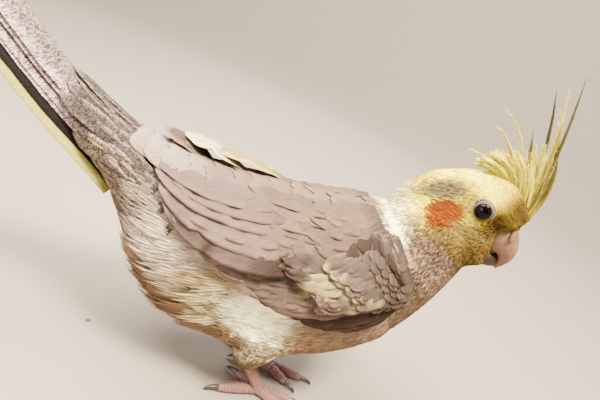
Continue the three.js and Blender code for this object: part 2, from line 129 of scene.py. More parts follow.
def add(tree: bpy.types.NodeTree, kind: str, inputs: dict | None = None, **settings) -> bpy.types.Node:
    """Adds one node to a tree.

    Args:
        tree: The material's or the modifier's tree.
        kind: The node's type name.
        inputs: For each socket, by name or place, a value or the output that feeds it.
        settings: The node's own properties.

    Returns:
        The new node.
    """
    node = tree.nodes.new(kind)
    for name, value in settings.items():
        setattr(node, name, value)
    for key, value in (inputs or {}).items():
        if isinstance(value, bpy.types.NodeSocket):
            tree.links.new(value, node.inputs[key])
        else:
            node.inputs[key].default_value = value
    return node


def between(rows: np.ndarray, share: np.ndarray | float) -> np.ndarray:
    """Smooth values between the rows of a table, by a Catmull-Rom curve.

    Args:
        rows: The table.
        share: Places along it, from 0 to 1.

    Returns:
        A row of values for each place, in a last axis.
    """
    last = len(rows) - 1
    at = np.clip(np.asarray(share, float), 0, 1) * last
    first = np.minimum(at.astype(int), last - 1)
    u = (at - first)[..., None]
    a, b, c, d = (rows[np.clip(first + k, 0, last)] for k in (-1, 0, 1, 2))
    return b + 0.5 * u * (c - a + u * (2 * a - 5 * b + 4 * c - d + u * (3 * (b - c) + d - a)))


def unit(vectors: np.ndarray) -> np.ndarray:
    """Vectors made one long, along the last axis."""
    return vectors / np.maximum(np.linalg.norm(vectors, axis=-1, keepdims=True), 1e-9)


def smooth(low: float, high: float, value: np.ndarray) -> np.ndarray:
    """A step from 0 at low to 1 at high with soft ends."""
    t = np.clip((value - low) / (high - low), 0, 1)
    return t * t * (3 - 2 * t)


def blob(x: np.ndarray, y: np.ndarray, at: tuple[float, float], radii: tuple[float, float],
         turn: float = 0.0, soft: float = 0.35) -> np.ndarray:
    """A soft-edged ellipse as a mask.

    Args:
        x: First coordinates of the places asked about.
        y: Second coordinates.
        at: The ellipse's middle.
        radii: Its half axes.
        turn: Degrees from the first axis to its first half axis.
        soft: How wide its edge is, as a share of its radii.

    Returns:
        Values from 1 inside to 0 outside.
    """
    c, s = math.cos(math.radians(turn)), math.sin(math.radians(turn))
    dx, dy = x - at[0], y - at[1]
    reach = np.hypot((dx * c + dy * s) / radii[0], (dy * c - dx * s) / radii[1])
    return 1 - smooth(1 - soft, 1 + soft, reach)


def stroke(x: np.ndarray, y: np.ndarray, points: tuple, width: float, scale: float) -> np.ndarray:
    """A line through points as a mask.

    Args:
        x: First coordinates of the places asked about.
        y: Second coordinates.
        points: The line's corners.
        width: How far its soft edge reaches, in units of the first coordinate.
        scale: How many units of the second coordinate are as long as one of the first.

    Returns:
        Values from 1 on the line to 0 away from it.
    """
    far = np.full(np.shape(x), np.inf)
    for (ax, ay), (bx, by) in zip(points, points[1:]):
        dx, dy = bx - ax, (by - ay) / scale
        px, py = x - ax, (y - ay) / scale
        t = np.clip((px * dx + py * dy) / (dx * dx + dy * dy), 0, 1)
        far = np.minimum(far, np.hypot(px - t * dx, py - t * dy))
    return 1 - smooth(0.3 * width, width, far)


def bent(root: np.ndarray, bend: np.ndarray, tip: np.ndarray, up: np.ndarray) -> Callable:
    """A feather's places, where it bends evenly from its root to its tip.

    Args:
        root: Where it grows.
        bend: The point that it bends towards.
        tip: Where it ends.
        up: The way that its upper face looks.

    Returns:
        A function that gives points for shares along it, millimetres across it and above it.
    """
    def at(u: np.ndarray, across: np.ndarray, height: np.ndarray) -> np.ndarray:
        """Gives the points asked for."""
        w = np.asarray(u, float)[..., None]
        spine = (1 - w) ** 2 * root + 2 * w * (1 - w) * bend + w ** 2 * tip
        along = unit(2 * (1 - w) * (bend - root) + 2 * w * (tip - bend))
        flat = unit(np.cross(up, along))
        return spine + flat * across[..., None] + np.cross(along, flat) * np.asarray(height)[..., None]
    return at


def mixed(a: np.ndarray, b: np.ndarray, mask: np.ndarray) -> np.ndarray:
    """Colours a turned to b where the mask says so."""
    return a + (b - a) * np.asarray(mask)[..., None]


def blobs(x: np.ndarray, y: np.ndarray, rows: tuple) -> np.ndarray:
    """Several soft-edged ellipses as one mask, from rows of what blob takes."""
    return np.maximum.reduce([blob(x, y, *row) for row in rows])


def linked(name: str, data: bpy.types.ID) -> bpy.types.Object:
    """A new object of the scene, at the origin and unturned."""
    made = bpy.data.objects.new(name, data)
    bpy.context.scene.collection.objects.link(made)
    return made


def heading(degrees: float) -> np.ndarray:
    """The way over the floor that lies at these degrees from straight ahead."""
    return np.array((math.cos(math.radians(degrees)), math.sin(math.radians(degrees))))


@dataclass(frozen=True)
class Anatomy:
    """The bird's measured forms: its trunk and its head as smooth tables of sections."""

    shift: np.ndarray

    @staticmethod
    def found() -> "Anatomy":
        """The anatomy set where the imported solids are, by the place of the right eye."""
        low, high = (np.array(corner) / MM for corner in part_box("eye_right"))
        own = Anatomy.turned(np.array((0.0, -EYE_SIDE, 0.0)))
        return Anatomy(shift=np.array(((low + high)[0] / 2 - own[0], (low + high)[1] / 2 - own[1], 0.0)))

    @staticmethod
    def turned(points: np.ndarray) -> np.ndarray:
        """Points of the head's own frame, in the bird's frame."""
        c, s = math.cos(HEAD_YAW), math.sin(HEAD_YAW)
        x, y, z = points[..., 0], points[..., 1], points[..., 2]
        return np.stack((x * c - y * s, x * s + y * c, z), -1) + HEAD_AT

    @staticmethod
    def local(points: np.ndarray) -> np.ndarray:
        """Points of the bird's frame, in the head's own frame."""
        c, s = math.cos(HEAD_YAW), math.sin(HEAD_YAW)
        x, y, z = np.moveaxis(points - HEAD_AT, -1, 0)
        return np.stack((x * c + y * s, y * c - x * s, z), -1)

    @staticmethod
    def trunk(share: np.ndarray, turn: np.ndarray, grown: np.ndarray | float = 0.0) -> np.ndarray:
        """Points of the trunk.

        Args:
            share: Places along it, from 0 at the tail to 1 inside the head.
            turn: Degrees round it from the middle of the back, to the right side where positive.
            grown: How far outside the trunk the points lie.

        Returns:
            The points, in the bird's frame.
        """
        x, z, wide, up, down, lean = np.moveaxis(between(TRUNK, share), -1, 0)
        t, lean = np.radians(turn), np.radians(lean)
        rise = np.cos(t) * (np.where(np.cos(t) > 0, up, down) + grown)
        across = -np.sin(t) * (wide + grown)
        shape = np.broadcast_shapes(np.shape(rise), np.shape(across), np.shape(x))
        made = (x - np.sin(lean) * rise, across, z + np.cos(lean) * rise)
        return np.stack([np.broadcast_to(m, shape) for m in made], -1)

    @staticmethod
    def head(share: np.ndarray, turn: np.ndarray, grown: np.ndarray | float = 0.0) -> np.ndarray:
        """Points of the head, by the share of its table from the nape and the degrees round it."""
        x, top, bottom, wide = np.moveaxis(between(HEAD, share), -1, 0)
        t = np.radians(turn)
        y = -np.sin(t) * (wide + grown)
        z = (top + bottom) / 2 + np.cos(t) * ((top - bottom) / 2 + grown)
        x = np.broadcast_to(x, np.shape(z))
        beside_bill = smooth(5, 11, x) * smooth(-1, -4.5, z) * smooth(-19, -15.5, z)
        return Anatomy.turned(np.stack((x, y * (1 - 0.62 * beside_bill), z), -1))

    @staticmethod
    def off_head(points: np.ndarray) -> np.ndarray:
        """Roughly how far outside the head points lie, below 0 inside it."""
        x, y, z = np.moveaxis(Anatomy.local(points), -1, 0)
        top, bottom, wide = (np.interp(x, HEAD[:, 0], HEAD[:, k]) for k in (1, 2, 3))
        high = (top - bottom) / 2
        reach = np.hypot(y / wide, (z - (top + bottom) / 2) / high) - 1
        return reach * np.minimum(wide, high) + np.maximum(HEAD[0, 0] - x, 0)


@dataclass
class Sheaf:
    """Vertices, triangles and colours gathered from many forms, then written as one plain mesh."""

    anatomy: Anatomy
    parts: list[tuple] = field(default_factory=list)

    def put(self, points: np.ndarray, faces: np.ndarray, paint: np.ndarray,
            bake: np.ndarray | None = None, vane: np.ndarray | None = None,
            mottle: np.ndarray | float = 0.0) -> None:
        """Adds a form.

        Args:
            points: Its vertices, in the bird's frame.
            faces: Its triangles.
            paint: A linear colour for each vertex, or one for all.
            bake: Each vertex's place on the bake map.
            vane: Each vertex's place along and across its feather, in millimetres.
            mottle: How strongly each vertex is mottled, from 0 to 1.
        """
        n = len(points)
        empty = np.zeros((n, 2))
        self.parts.append((
            points, faces, np.broadcast_to(paint, (n, 3)),
            empty if bake is None else bake,
            empty if vane is None else vane,
            np.broadcast_to(mottle, (n,)),
        ))

    def write(self, name: str, material: bpy.types.Material, bake: bool = True) -> bpy.types.Object:
        """Writes the forms as one object of the scene.

        Args:
            name: The object's name.
            material: Its material.
            bake: Whether it brings its own bake map.

        Returns:
            The object, at the origin, its place in its mesh.
        """
        starts = np.cumsum([0] + [len(p[0]) for p in self.parts[:-1]])
        points = np.concatenate([p[0] for p in self.parts])
        faces = np.concatenate([p[1] + start for p, start in zip(self.parts, starts)]).astype(np.int32)
        mesh = bpy.data.meshes.new(name)
        mesh.vertices.add(len(points))
        mesh.vertices.foreach_set("co", ((points + self.anatomy.shift) * MM).ravel())
        mesh.loops.add(faces.size)
        mesh.loops.foreach_set("vertex_index", faces.ravel())
        mesh.polygons.add(len(faces))
        mesh.polygons.foreach_set("loop_start", np.arange(0, faces.size, 3, dtype=np.int32))
        mesh.update(calc_edges=True)
        mesh.shade_smooth()
        paint = np.ones((len(points), 4))
        paint[:, :3] = np.clip(np.concatenate([p[2] for p in self.parts]), 0, 1)
        mesh.color_attributes.new("Paint", "FLOAT_COLOR", "POINT").data.foreach_set("color", paint.ravel())
        maps = [("OFBake", 3)] if bake else []
        for title, column in [*maps, ("Vane", 4)]:
            places = np.concatenate([p[column] for p in self.parts])[faces.ravel()]
            mesh.uv_layers.new(name=title).data.foreach_set("uv", places.ravel())
        mottle = np.concatenate([p[5] for p in self.parts])
        mesh.attributes.new("Mottle", "FLOAT", "POINT").data.foreach_set("value", mottle.ravel())
        mesh.materials.append(material)
        made = linked(name, mesh)
        LOG.info("%s: %d triangles", name, len(faces))
        return made


def outward(points: np.ndarray, faces: np.ndarray) -> np.ndarray:
    """Triangles of a closed form turned so that they face out."""
    a, b, c = (points[faces[:, k]] for k in range(3))
    volume = np.einsum("ij,ij->i", a, np.cross(b, c)).sum()
    return faces if volume > 0 else faces[:, ::-1]


def loft(rings: np.ndarray) -> tuple[np.ndarray, np.ndarray]:
    """A closed form through rings of points.

    Args:
        rings: The rings, their points and the points' coordinates, as three axes.

    Returns:
        Its vertices and its triangles, facing out.
    """
    m, n, _ = rings.shape
    points = np.concatenate((rings.reshape(-1, 3), rings[[0, -1]].mean(1)))
    i, j = (g.ravel() for g in np.meshgrid(np.arange(m - 1), np.arange(n), indexing="ij"))
    a, b = i * n + j, i * n + (j + 1) % n
    around = np.arange(n)
    after = (around + 1) % n
    last = (m - 1) * n
    faces = np.concatenate((
        np.stack((a, b, b + n), 1), np.stack((a, b + n, a + n), 1),
        np.stack((after, around, np.full(n, m * n)), 1),
        np.stack((last + around, last + after, np.full(n, m * n + 1)), 1),
    ))
    centred = points - points.mean(0)
    return points, outward(centred, faces)


def sheet(top: np.ndarray, under: np.ndarray) -> tuple[np.ndarray, np.ndarray]:
    """A thin closed form between two grids of points, its two faces split alike.

    Args:
        top: The upper grid, as three axes.
        under: The lower grid, of the same shape.

    Returns:
        Its vertices and its triangles, facing out.
    """
    m, n, _ = top.shape
    points = np.concatenate((top.reshape(-1, 3), under.reshape(-1, 3)))
    i, j = (g.ravel() for g in np.meshgrid(np.arange(m - 1), np.arange(n - 1), indexing="ij"))
    a = i * n + j
    upper = np.concatenate((np.stack((a, a + 1, a + n + 1), 1), np.stack((a, a + n + 1, a + n), 1)))
    rim = np.concatenate((
        np.arange(n - 1), np.arange(m - 1) * n + n - 1,
        (m - 1) * n + np.arange(n - 1, 0, -1), np.arange(m - 1, 0, -1) * n,
    ))
    nxt = np.roll(rim, -1)
    half = m * n
    sides = np.concatenate((np.stack((rim, half + nxt, nxt), 1), np.stack((rim, half + rim, half + nxt), 1)))
    faces = np.concatenate((upper, upper[:, ::-1] + half, sides))
    a, b, c = (top[0, 0], top[0, -1], top[-1, -1])
    lifted = top.mean((0, 1)) - under.mean((0, 1))
    return points, faces if np.dot(np.cross(b - a, c - a), lifted) > 0 else faces[:, ::-1]


# Markings

@dataclass(frozen=True)
class Markings:
    """The colours of the bird's plumage, place by place, for the skin and for what grows on it."""

    yellow: str = "#ffe919"
    crown: str = "#fff33e"
    cream: str = "#fff9b8"
    olive: str = "#614b1f"
    lores: str = "#2d1703"
    cheek: str = "#6f3300"
    smoke: str = "#4b4038"
    back: str = "#624f41"
    breast: str = "#77624e"
    belly: str = "#887547"
    thigh: str = "#f4ebbf"
    vent: str = "#6c4f34"
    flank: str = "#b8a68f"
    rump: str = "#7f6f61"
    forehead: str = "#d4bc07"
    face: str = "#5a4433"
    throat: str = "#b89e68"
    ear: str = "#7d6f62"
    # Painted shade: the darker rim round the eye, where the feathers at the lids cast shadow.
    eye_ring: str = "#635021"
    brow: str = "#453312"
    rear_belly: str = "#6b523e"
    breast_side: str = "#836846"
    flank_front: str = "#998150"
    shoulder: str = "#8f745c"

    def head(self, points: np.ndarray) -> np.ndarray:
        """The colours of places on the head.

        Args:
            points: The places, in the bird's frame.

        Returns:
            A linear colour for each.
        """
        x, y, z = np.moveaxis(Anatomy.local(points), -1, 0)
        side = smooth(4, 9, np.abs(y))
        return self.laid(linear(self.yellow), (
            (self.crown, smooth(4, 10, z + 0.15 * x) * smooth(6, -6, x)),
            (self.forehead, blob(x, z, (7, 11), (8, 6), -20, 0.7) * 0.9),
            (self.cream, smooth(-17, -25, x + 0.25 * (z + 9)) * 0.85),
            (self.face, smooth(0, -8, z - 0.35 * x) * smooth(-19, -9, x) * 0.9),
            (self.olive, smooth(-9, -17, z - 0.2 * x) * smooth(-13, -4, x)),
            (self.throat, smooth(-13, -19, z) * smooth(-3, -12, x)),
            (self.cream, blob(x, z, (-21, -16.5), (4.6, 8), 12, 0.5)),
            (self.ear, side * blob(x, z, (-16.2, -12.4), (2.6, 2), 0, 0.8) * 0.7),
            (self.smoke, side * blob(x, z, (-12.6, 1.8), (9.2, 3.8), 30, 0.5) * 0.95),
            # Painted shade round the eye, where the feathers at the lids cast shadow.
            (self.eye_ring, side * blob(x, z, (-2, 0), (5.5, 5), 0, 0.4) * 0.75),
            (self.cheek, side * blob(x, z, (-8.8, -5.6), (6.5, 4.9), 42, 0.22)),
            (self.lores, side * blob(x, z, (7.6, -0.8), (6.6, 4.4), 48, 0.8)),
            (self.brow, blob(x, z, (12.6, 4.2), (4.6, 7), 25, 0.7)),
        ))

    def trunk(self, share: np.ndarray, turn: np.ndarray) -> np.ndarray:
        """The colours of places on the trunk, by share along it and degrees round it."""
        side = np.abs(turn)
        colour = self.laid(linear(self.back), (
            (self.breast, smooth(74, 92, side) * smooth(0.46, 0.56, share)),
            (self.belly, smooth(84, 100, side) * smooth(0.54, 0.46, share)),
            (self.flank, smooth(0.38, 0.3, share) * smooth(70, 88, side)),
            (self.vent, smooth(106, 122, side) * smooth(0.42, 0.34, share) * 0.9),
            (self.rear_belly, blob(share, side, (0.41, 140), (0.08, 16), 0, 0.6) * 0.9),
            (self.breast_side, blob(share, side, (0.52, 120), (0.06, 12), 0, 0.7) * 0.8),
            (self.flank_front, blob(share, side, (0.4, 93), (0.04, 9), 0, 0.7) * 0.8),
            (self.thigh, blob(share, side, (0.445, 104), (0.058, 17), 0, 0.5)),
            (self.rump, smooth(0.27, 0.2, share)),
            (self.cream, blob(share, side, (0.785, 30), (0.05, 20), 0, 0.5) * 0.9),
            (self.shoulder, blob(share, side, (0.79, 64), (0.05, 13), 0, 0.6) * 0.8),
        ))
        points = Anatomy.trunk(share, turn)
        near = 1 - smooth(1.5, 6.5, Anatomy.off_head(points))
        return mixed(colour, self.head(points), near)

    @staticmethod
    def laid(colour: np.ndarray, layers: tuple) -> np.ndarray:
        """A colour with others laid over it in turn, each by its hex code and a mask."""
        for code, mask in layers:
            colour = mixed(colour, linear(code), mask)
        return colour


MARKINGS = Markings()
# The skin's unwrap: how much of its height the trunk takes, and where the head's part begins.
TRUNK_MAP_HIGH = 0.62
HEAD_MAP_LOW = 0.64


def trunk_map(share: np.ndarray, turn: np.ndarray) -> np.ndarray:
    """Where a place on the trunk lies on the skin's unwrap."""
    return np.stack((0.02 + 0.96 * share, 0.02 + TRUNK_MAP_HIGH * 0.96 * (turn % 360) / 360), -1)


def head_map(share: np.ndarray, turn: np.ndarray) -> np.ndarray:
    """Where a place on the head lies on the skin's unwrap."""
    return np.stack((0.02 + 0.5 * share, HEAD_MAP_LOW + 0.34 * (turn % 360) / 360), -1)


# Materials

def started(name: str, plain: dict[str, float]) -> tuple:
    """Starts a material and sets what is the same all over its surface.

    Args:
        name: The material's name.
        plain: A value for each of the shader's sockets that is set.

    Returns:
        The material, its tree and its shader.
    """
    material = bpy.data.materials.new(name)
    material.use_nodes = True
    tree = material.node_tree
    shader = tree.nodes["Principled BSDF"]
    for socket, value in plain.items():
        shader.inputs[socket].default_value = value
    return material, tree, shader


def toned(tree: bpy.types.NodeTree, shader: bpy.types.Node, base: bpy.types.NodeSocket | tuple,
          scale: float, detail: float, span: tuple[float, float]) -> bpy.types.Node:
    """Colours a shader by a base that a soft noise over the object makes darker and lighter.

    Args:
        tree: The material's tree.
        shader: Its shader.
        base: The base colour, or the output that gives it.
        scale: The noise's scale.
        detail: The noise's detail.
        span: What its darkest and its lightest places are multiplied by.

    Returns:
        The noise, for a bump to share.
    """
    place = add(tree, "ShaderNodeTexCoord")
    noise = add(tree, "ShaderNodeTexNoise",
                {"Vector": place.outputs["Object"], "Scale": scale, "Detail": detail})
    tone = add(tree, "ShaderNodeMapRange",
               {"Value": noise.outputs["Fac"], "From Min": 0.3, "From Max": 0.7,
                "To Min": span[0], "To Max": span[1]})
    colour = add(tree, "ShaderNodeVectorMath", {0: base, 1: tone.outputs["Result"]}, operation="MULTIPLY")
    tree.links.new(colour.outputs["Vector"], shader.inputs["Base Color"])
    return noise


@dataclass(frozen=True)
class Contour:
    """Body feathers of soft keratin, open at the tips: dull, with a faint bloom where light grazes."""

    name: str = "soft_contour_feather"
    roughness: float = 0.85
    sheen: float = 0.02
    specular: float = 0.05
    clump_mm: float = 5.0
    shade: float = 0.16

    def made(self) -> bpy.types.Material:
        """Builds the material."""
        material, tree, shader = started(self.name, {
            "Roughness": self.roughness, "Sheen Weight": self.sheen, "Specular IOR Level": self.specular})
        paint = add(tree, "ShaderNodeAttribute", attribute_name="Paint")
        toned(tree, shader, paint.outputs["Color"], 1 / (self.clump_mm * MM), 3.0,
              (1 - self.shade, 1 + self.shade))
        return material


@dataclass(frozen=True)
class Vane:
    """A closed vane of keratin barbs: satin, streaked along the barbs, mottled where the bird is."""

    name: str = "closed_vane_feather"
    roughness: float = 0.7
    sheen: float = 0.02
    specular: float = 0.08
    barb_mm: float = 0.55  # real barbs lie 0.2 mm apart, too fine to show
    slope: float = 1.15  # how far a barb runs toward the tip for each millimetre across
    drawn_out: float = 0.35  # how the streaks are stretched along the barbs
    streak: float = 0.3
    specks_per_mm: float = 1.7
    bump_mm: float = 0.2

    def made(self) -> bpy.types.Material:
        """Builds the material."""
        material, tree, shader = started(self.name, {
            "Roughness": self.roughness, "Sheen Weight": self.sheen, "Specular IOR Level": self.specular})
        paint = add(tree, "ShaderNodeAttribute", attribute_name="Paint")
        mottle = add(tree, "ShaderNodeAttribute", attribute_name="Mottle")
        vane = add(tree, "ShaderNodeSeparateXYZ", {0: add(tree, "ShaderNodeUVMap", uv_map="Vane").outputs[0]})
        away = add(tree, "ShaderNodeMath", {0: vane.outputs["Y"]}, operation="ABSOLUTE")
        slant = add(tree, "ShaderNodeMath", {0: away.outputs[0], 1: -self.slope, 2: vane.outputs["X"]},
                    operation="MULTIPLY_ADD")
        along = add(tree, "ShaderNodeMath", {0: slant.outputs[0], 1: 1 / self.barb_mm}, operation="MULTIPLY")
        out = add(tree, "ShaderNodeMath", {0: vane.outputs["Y"], 1: self.drawn_out}, operation="MULTIPLY")
        barbs = add(tree, "ShaderNodeTexNoise",
                    {"Vector": add(tree, "ShaderNodeCombineXYZ",
                                   {"X": along.outputs[0], "Y": out.outputs[0]}).outputs[0],
                     "Scale": 1.0, "Detail": 3.0, "Roughness": 0.65})
        streaks = add(tree, "ShaderNodeMapRange",
                      {"Value": barbs.outputs["Fac"], "From Min": 0.3, "From Max": 0.7,
                       "To Min": 1 - self.streak, "To Max": 1 + self.streak})
        wide = add(tree, "ShaderNodeMath", {0: vane.outputs["X"], 1: self.specks_per_mm},
                   operation="MULTIPLY")
        specks = add(tree, "ShaderNodeTexNoise",
                     {"Vector": add(tree, "ShaderNodeCombineXYZ",
                                    {"X": wide.outputs[0], "Y": vane.outputs["Y"], "Z": 3.0}).outputs[0],
                      "Scale": 1.0, "Detail": 2.0, "Distortion": 1.4})
        dark = add(tree, "ShaderNodeMapRange",
                   {"Value": specks.outputs["Fac"], "From Min": 0.42, "From Max": 0.58,
                    "To Min": 0.16, "To Max": 1.8})
        spotted = add(tree, "ShaderNodeMix", {0: mottle.outputs["Fac"], 2: 1.0, 3: dark.outputs["Result"]})
        both = add(tree, "ShaderNodeMath", {0: streaks.outputs["Result"], 1: spotted.outputs[0]},
                   operation="MULTIPLY")
        colour = add(tree, "ShaderNodeVectorMath", {0: paint.outputs["Color"], 1: both.outputs[0]},
                     operation="MULTIPLY")
        tree.links.new(colour.outputs["Vector"], shader.inputs["Base Color"])
        bump = add(tree, "ShaderNodeBump",
                   {"Height": barbs.outputs["Fac"], "Distance": self.bump_mm * MM, "Strength": 0.8})
        tree.links.new(bump.outputs["Normal"], shader.inputs["Normal"])
        return material


@dataclass(frozen=True)
class Horn:
    """Hard keratin or bare skin with its colour painted on, its grain and its gloss."""

    name: str
    roughness: float
    grain_mm: float
    bump_mm: float
    shade: float = 0.12
    subsurface: float = 0.0
    coat: float = 0.0
    specular: float = 0.5

    def made(self) -> bpy.types.Material:
        """Builds the material."""
        material, tree, shader = started(self.name, {
            "Roughness": self.roughness, "Subsurface Weight": self.subsurface, "Subsurface Scale": MM,
            "Coat Weight": self.coat, "Coat Roughness": 0.04, "Specular IOR Level": self.specular})
        paint = add(tree, "ShaderNodeAttribute", attribute_name="Paint")
        grain = toned(tree, shader, paint.outputs["Color"], 1 / (self.grain_mm * MM), 4.0,
                      (1 - self.shade, 1 + self.shade))
        bump = add(tree, "ShaderNodeBump",
                   {"Height": grain.outputs["Fac"], "Distance": self.bump_mm * MM, "Strength": 0.7})
        tree.links.new(bump.outputs["Normal"], shader.inputs["Normal"])
        return material


# Skin

@dataclass
class Skin:
    """One skin over trunk, neck, head and thighs, inside the solids by the depth of the coat."""

    anatomy: Anatomy
    head_depth: float = 0.7
    trunk_depth: float = 1.2
    belly_depth: float = 1.8
    voxel: float = 1.1
    tree: BVHTree | None = None

    def depth(self, share: np.ndarray, turn: np.ndarray) -> np.ndarray:
        """How deep the skin lies under the trunk's outline."""
        low = smooth(80, 110, np.abs((turn + 180) % 360 - 180))
        return self.trunk_depth + (self.belly_depth - self.trunk_depth) * low * np.ones_like(share)

    def forms(self) -> list[tuple[np.ndarray, np.ndarray]]:
        """The closed forms that the skin is drawn over."""
        turn = np.linspace(0, 360, 64, endpoint=False)[None, :]
        share = np.linspace(0, 1, 72)[:, None]
        along = share * np.ones_like(turn)
        trunk = Anatomy.trunk(along, turn * np.ones_like(share), -self.depth(along, turn))
        head = Anatomy.head(along, turn * np.ones_like(share), -self.head_depth)
        return [loft(trunk), loft(head), *(loft(Leg(self.anatomy, side).thigh(-1.2)) for side in Side)]

    def build(self, material: bpy.types.Material) -> None:
        """Draws the skin over the forms, paints it and keeps it for the feathers to stand on."""
        rough = Sheaf(self.anatomy)
        for points, faces in self.forms():
            rough.put(points, faces, (1.0, 1.0, 1.0))
        draft = rough.write("skin_draft", material, bake=False)
        remesh = draft.modifiers.new("Remesh", "REMESH")
        remesh.mode = "VOXEL"
        remesh.voxel_size = self.voxel * MM
        soften = draft.modifiers.new("Soften", "SMOOTH")
        soften.iterations = 8
        evaluated = draft.evaluated_get(bpy.context.evaluated_depsgraph_get())
        mesh = bpy.data.meshes.new_from_object(evaluated)
        bpy.data.objects.remove(draft)
        mesh.calc_loop_triangles()
        points = np.empty(len(mesh.vertices) * 3)
        mesh.vertices.foreach_get("co", points)
        faces = np.empty(len(mesh.loop_triangles) * 3, np.int32)
        mesh.loop_triangles.foreach_get("vertices", faces)
        points = points.reshape(-1, 3) / MM - self.anatomy.shift
        faces = faces.reshape(-1, 3)
        bpy.data.meshes.remove(mesh)
        self.tree = BVHTree.FromPolygons([Vector(p) for p in points], faces.tolist())
        paint, places = self.painted(points)
        sheaf = Sheaf(self.anatomy)
        # Painted shade: the skin takes the markings painted darker, most where they are dark, as the shade
        # under the feathers.
        sheaf.put(points, faces, paint * (0.6 + 0.38 * smooth(0.5, 0.85, paint[:, 1:2])), places)
        skin = sheaf.write("skin", material)
        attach(skin, ROOT)
        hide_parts("torso", "neck", "head", "thigh_left", "thigh_right")

    def painted(self, points: np.ndarray) -> tuple[np.ndarray, np.ndarray]:
        """The markings and the unwrap's places at the skin's vertices."""
        share, turn = (g.ravel() for g in np.meshgrid(np.linspace(0, 1, 90), np.arange(0, 360, 6.0)))
        grids = (Anatomy.trunk(share, turn, -1.2), Anatomy.head(share, turn, -self.head_depth))
        near = KDTree(2 * len(share))
        for number, grid in enumerate(grids):
            for k, p in enumerate(grid):
                near.insert(p, number * len(share) + k)
        near.balance()
        found = np.array([near.find(p)[1] for p in points])
        on_head = found >= len(share)
        found %= len(share)
        share, turn = share[found], turn[found]
        signed = (turn + 180) % 360 - 180
        paint = np.where(on_head[:, None], MARKINGS.head(points), MARKINGS.trunk(share, signed))
        places = np.where(on_head[:, None], head_map(share, turn), trunk_map(share, turn))
        return paint, places

    def onto(self, points: np.ndarray) -> tuple[np.ndarray, np.ndarray, np.ndarray]:
        """The nearest places of the skin.

        Args:
            points: Places near it, in the bird's frame.

        Returns:
            The places on it, the normals there and how far they were.
        """
        hits = [self.tree.find_nearest(p) for p in points]
        places, normals, _, away = zip(*hits)
        return np.array(places), np.array(normals), np.array(away)


# Small feathers

@dataclass
class Bed:
    """Where small feathers grow, and how each lies: one row of values for each feather."""

    root: np.ndarray
    flow: np.ndarray
    length: np.ndarray
    width: np.ndarray
    lift: np.ndarray
    paint: np.ndarray
    tip: np.ndarray
    place: np.ndarray

    def kept(self, mask: np.ndarray) -> "Bed":
        """The bed with only the feathers that the mask keeps."""
        return Bed(*(getattr(self, name)[mask] for name in self.__dataclass_fields__))


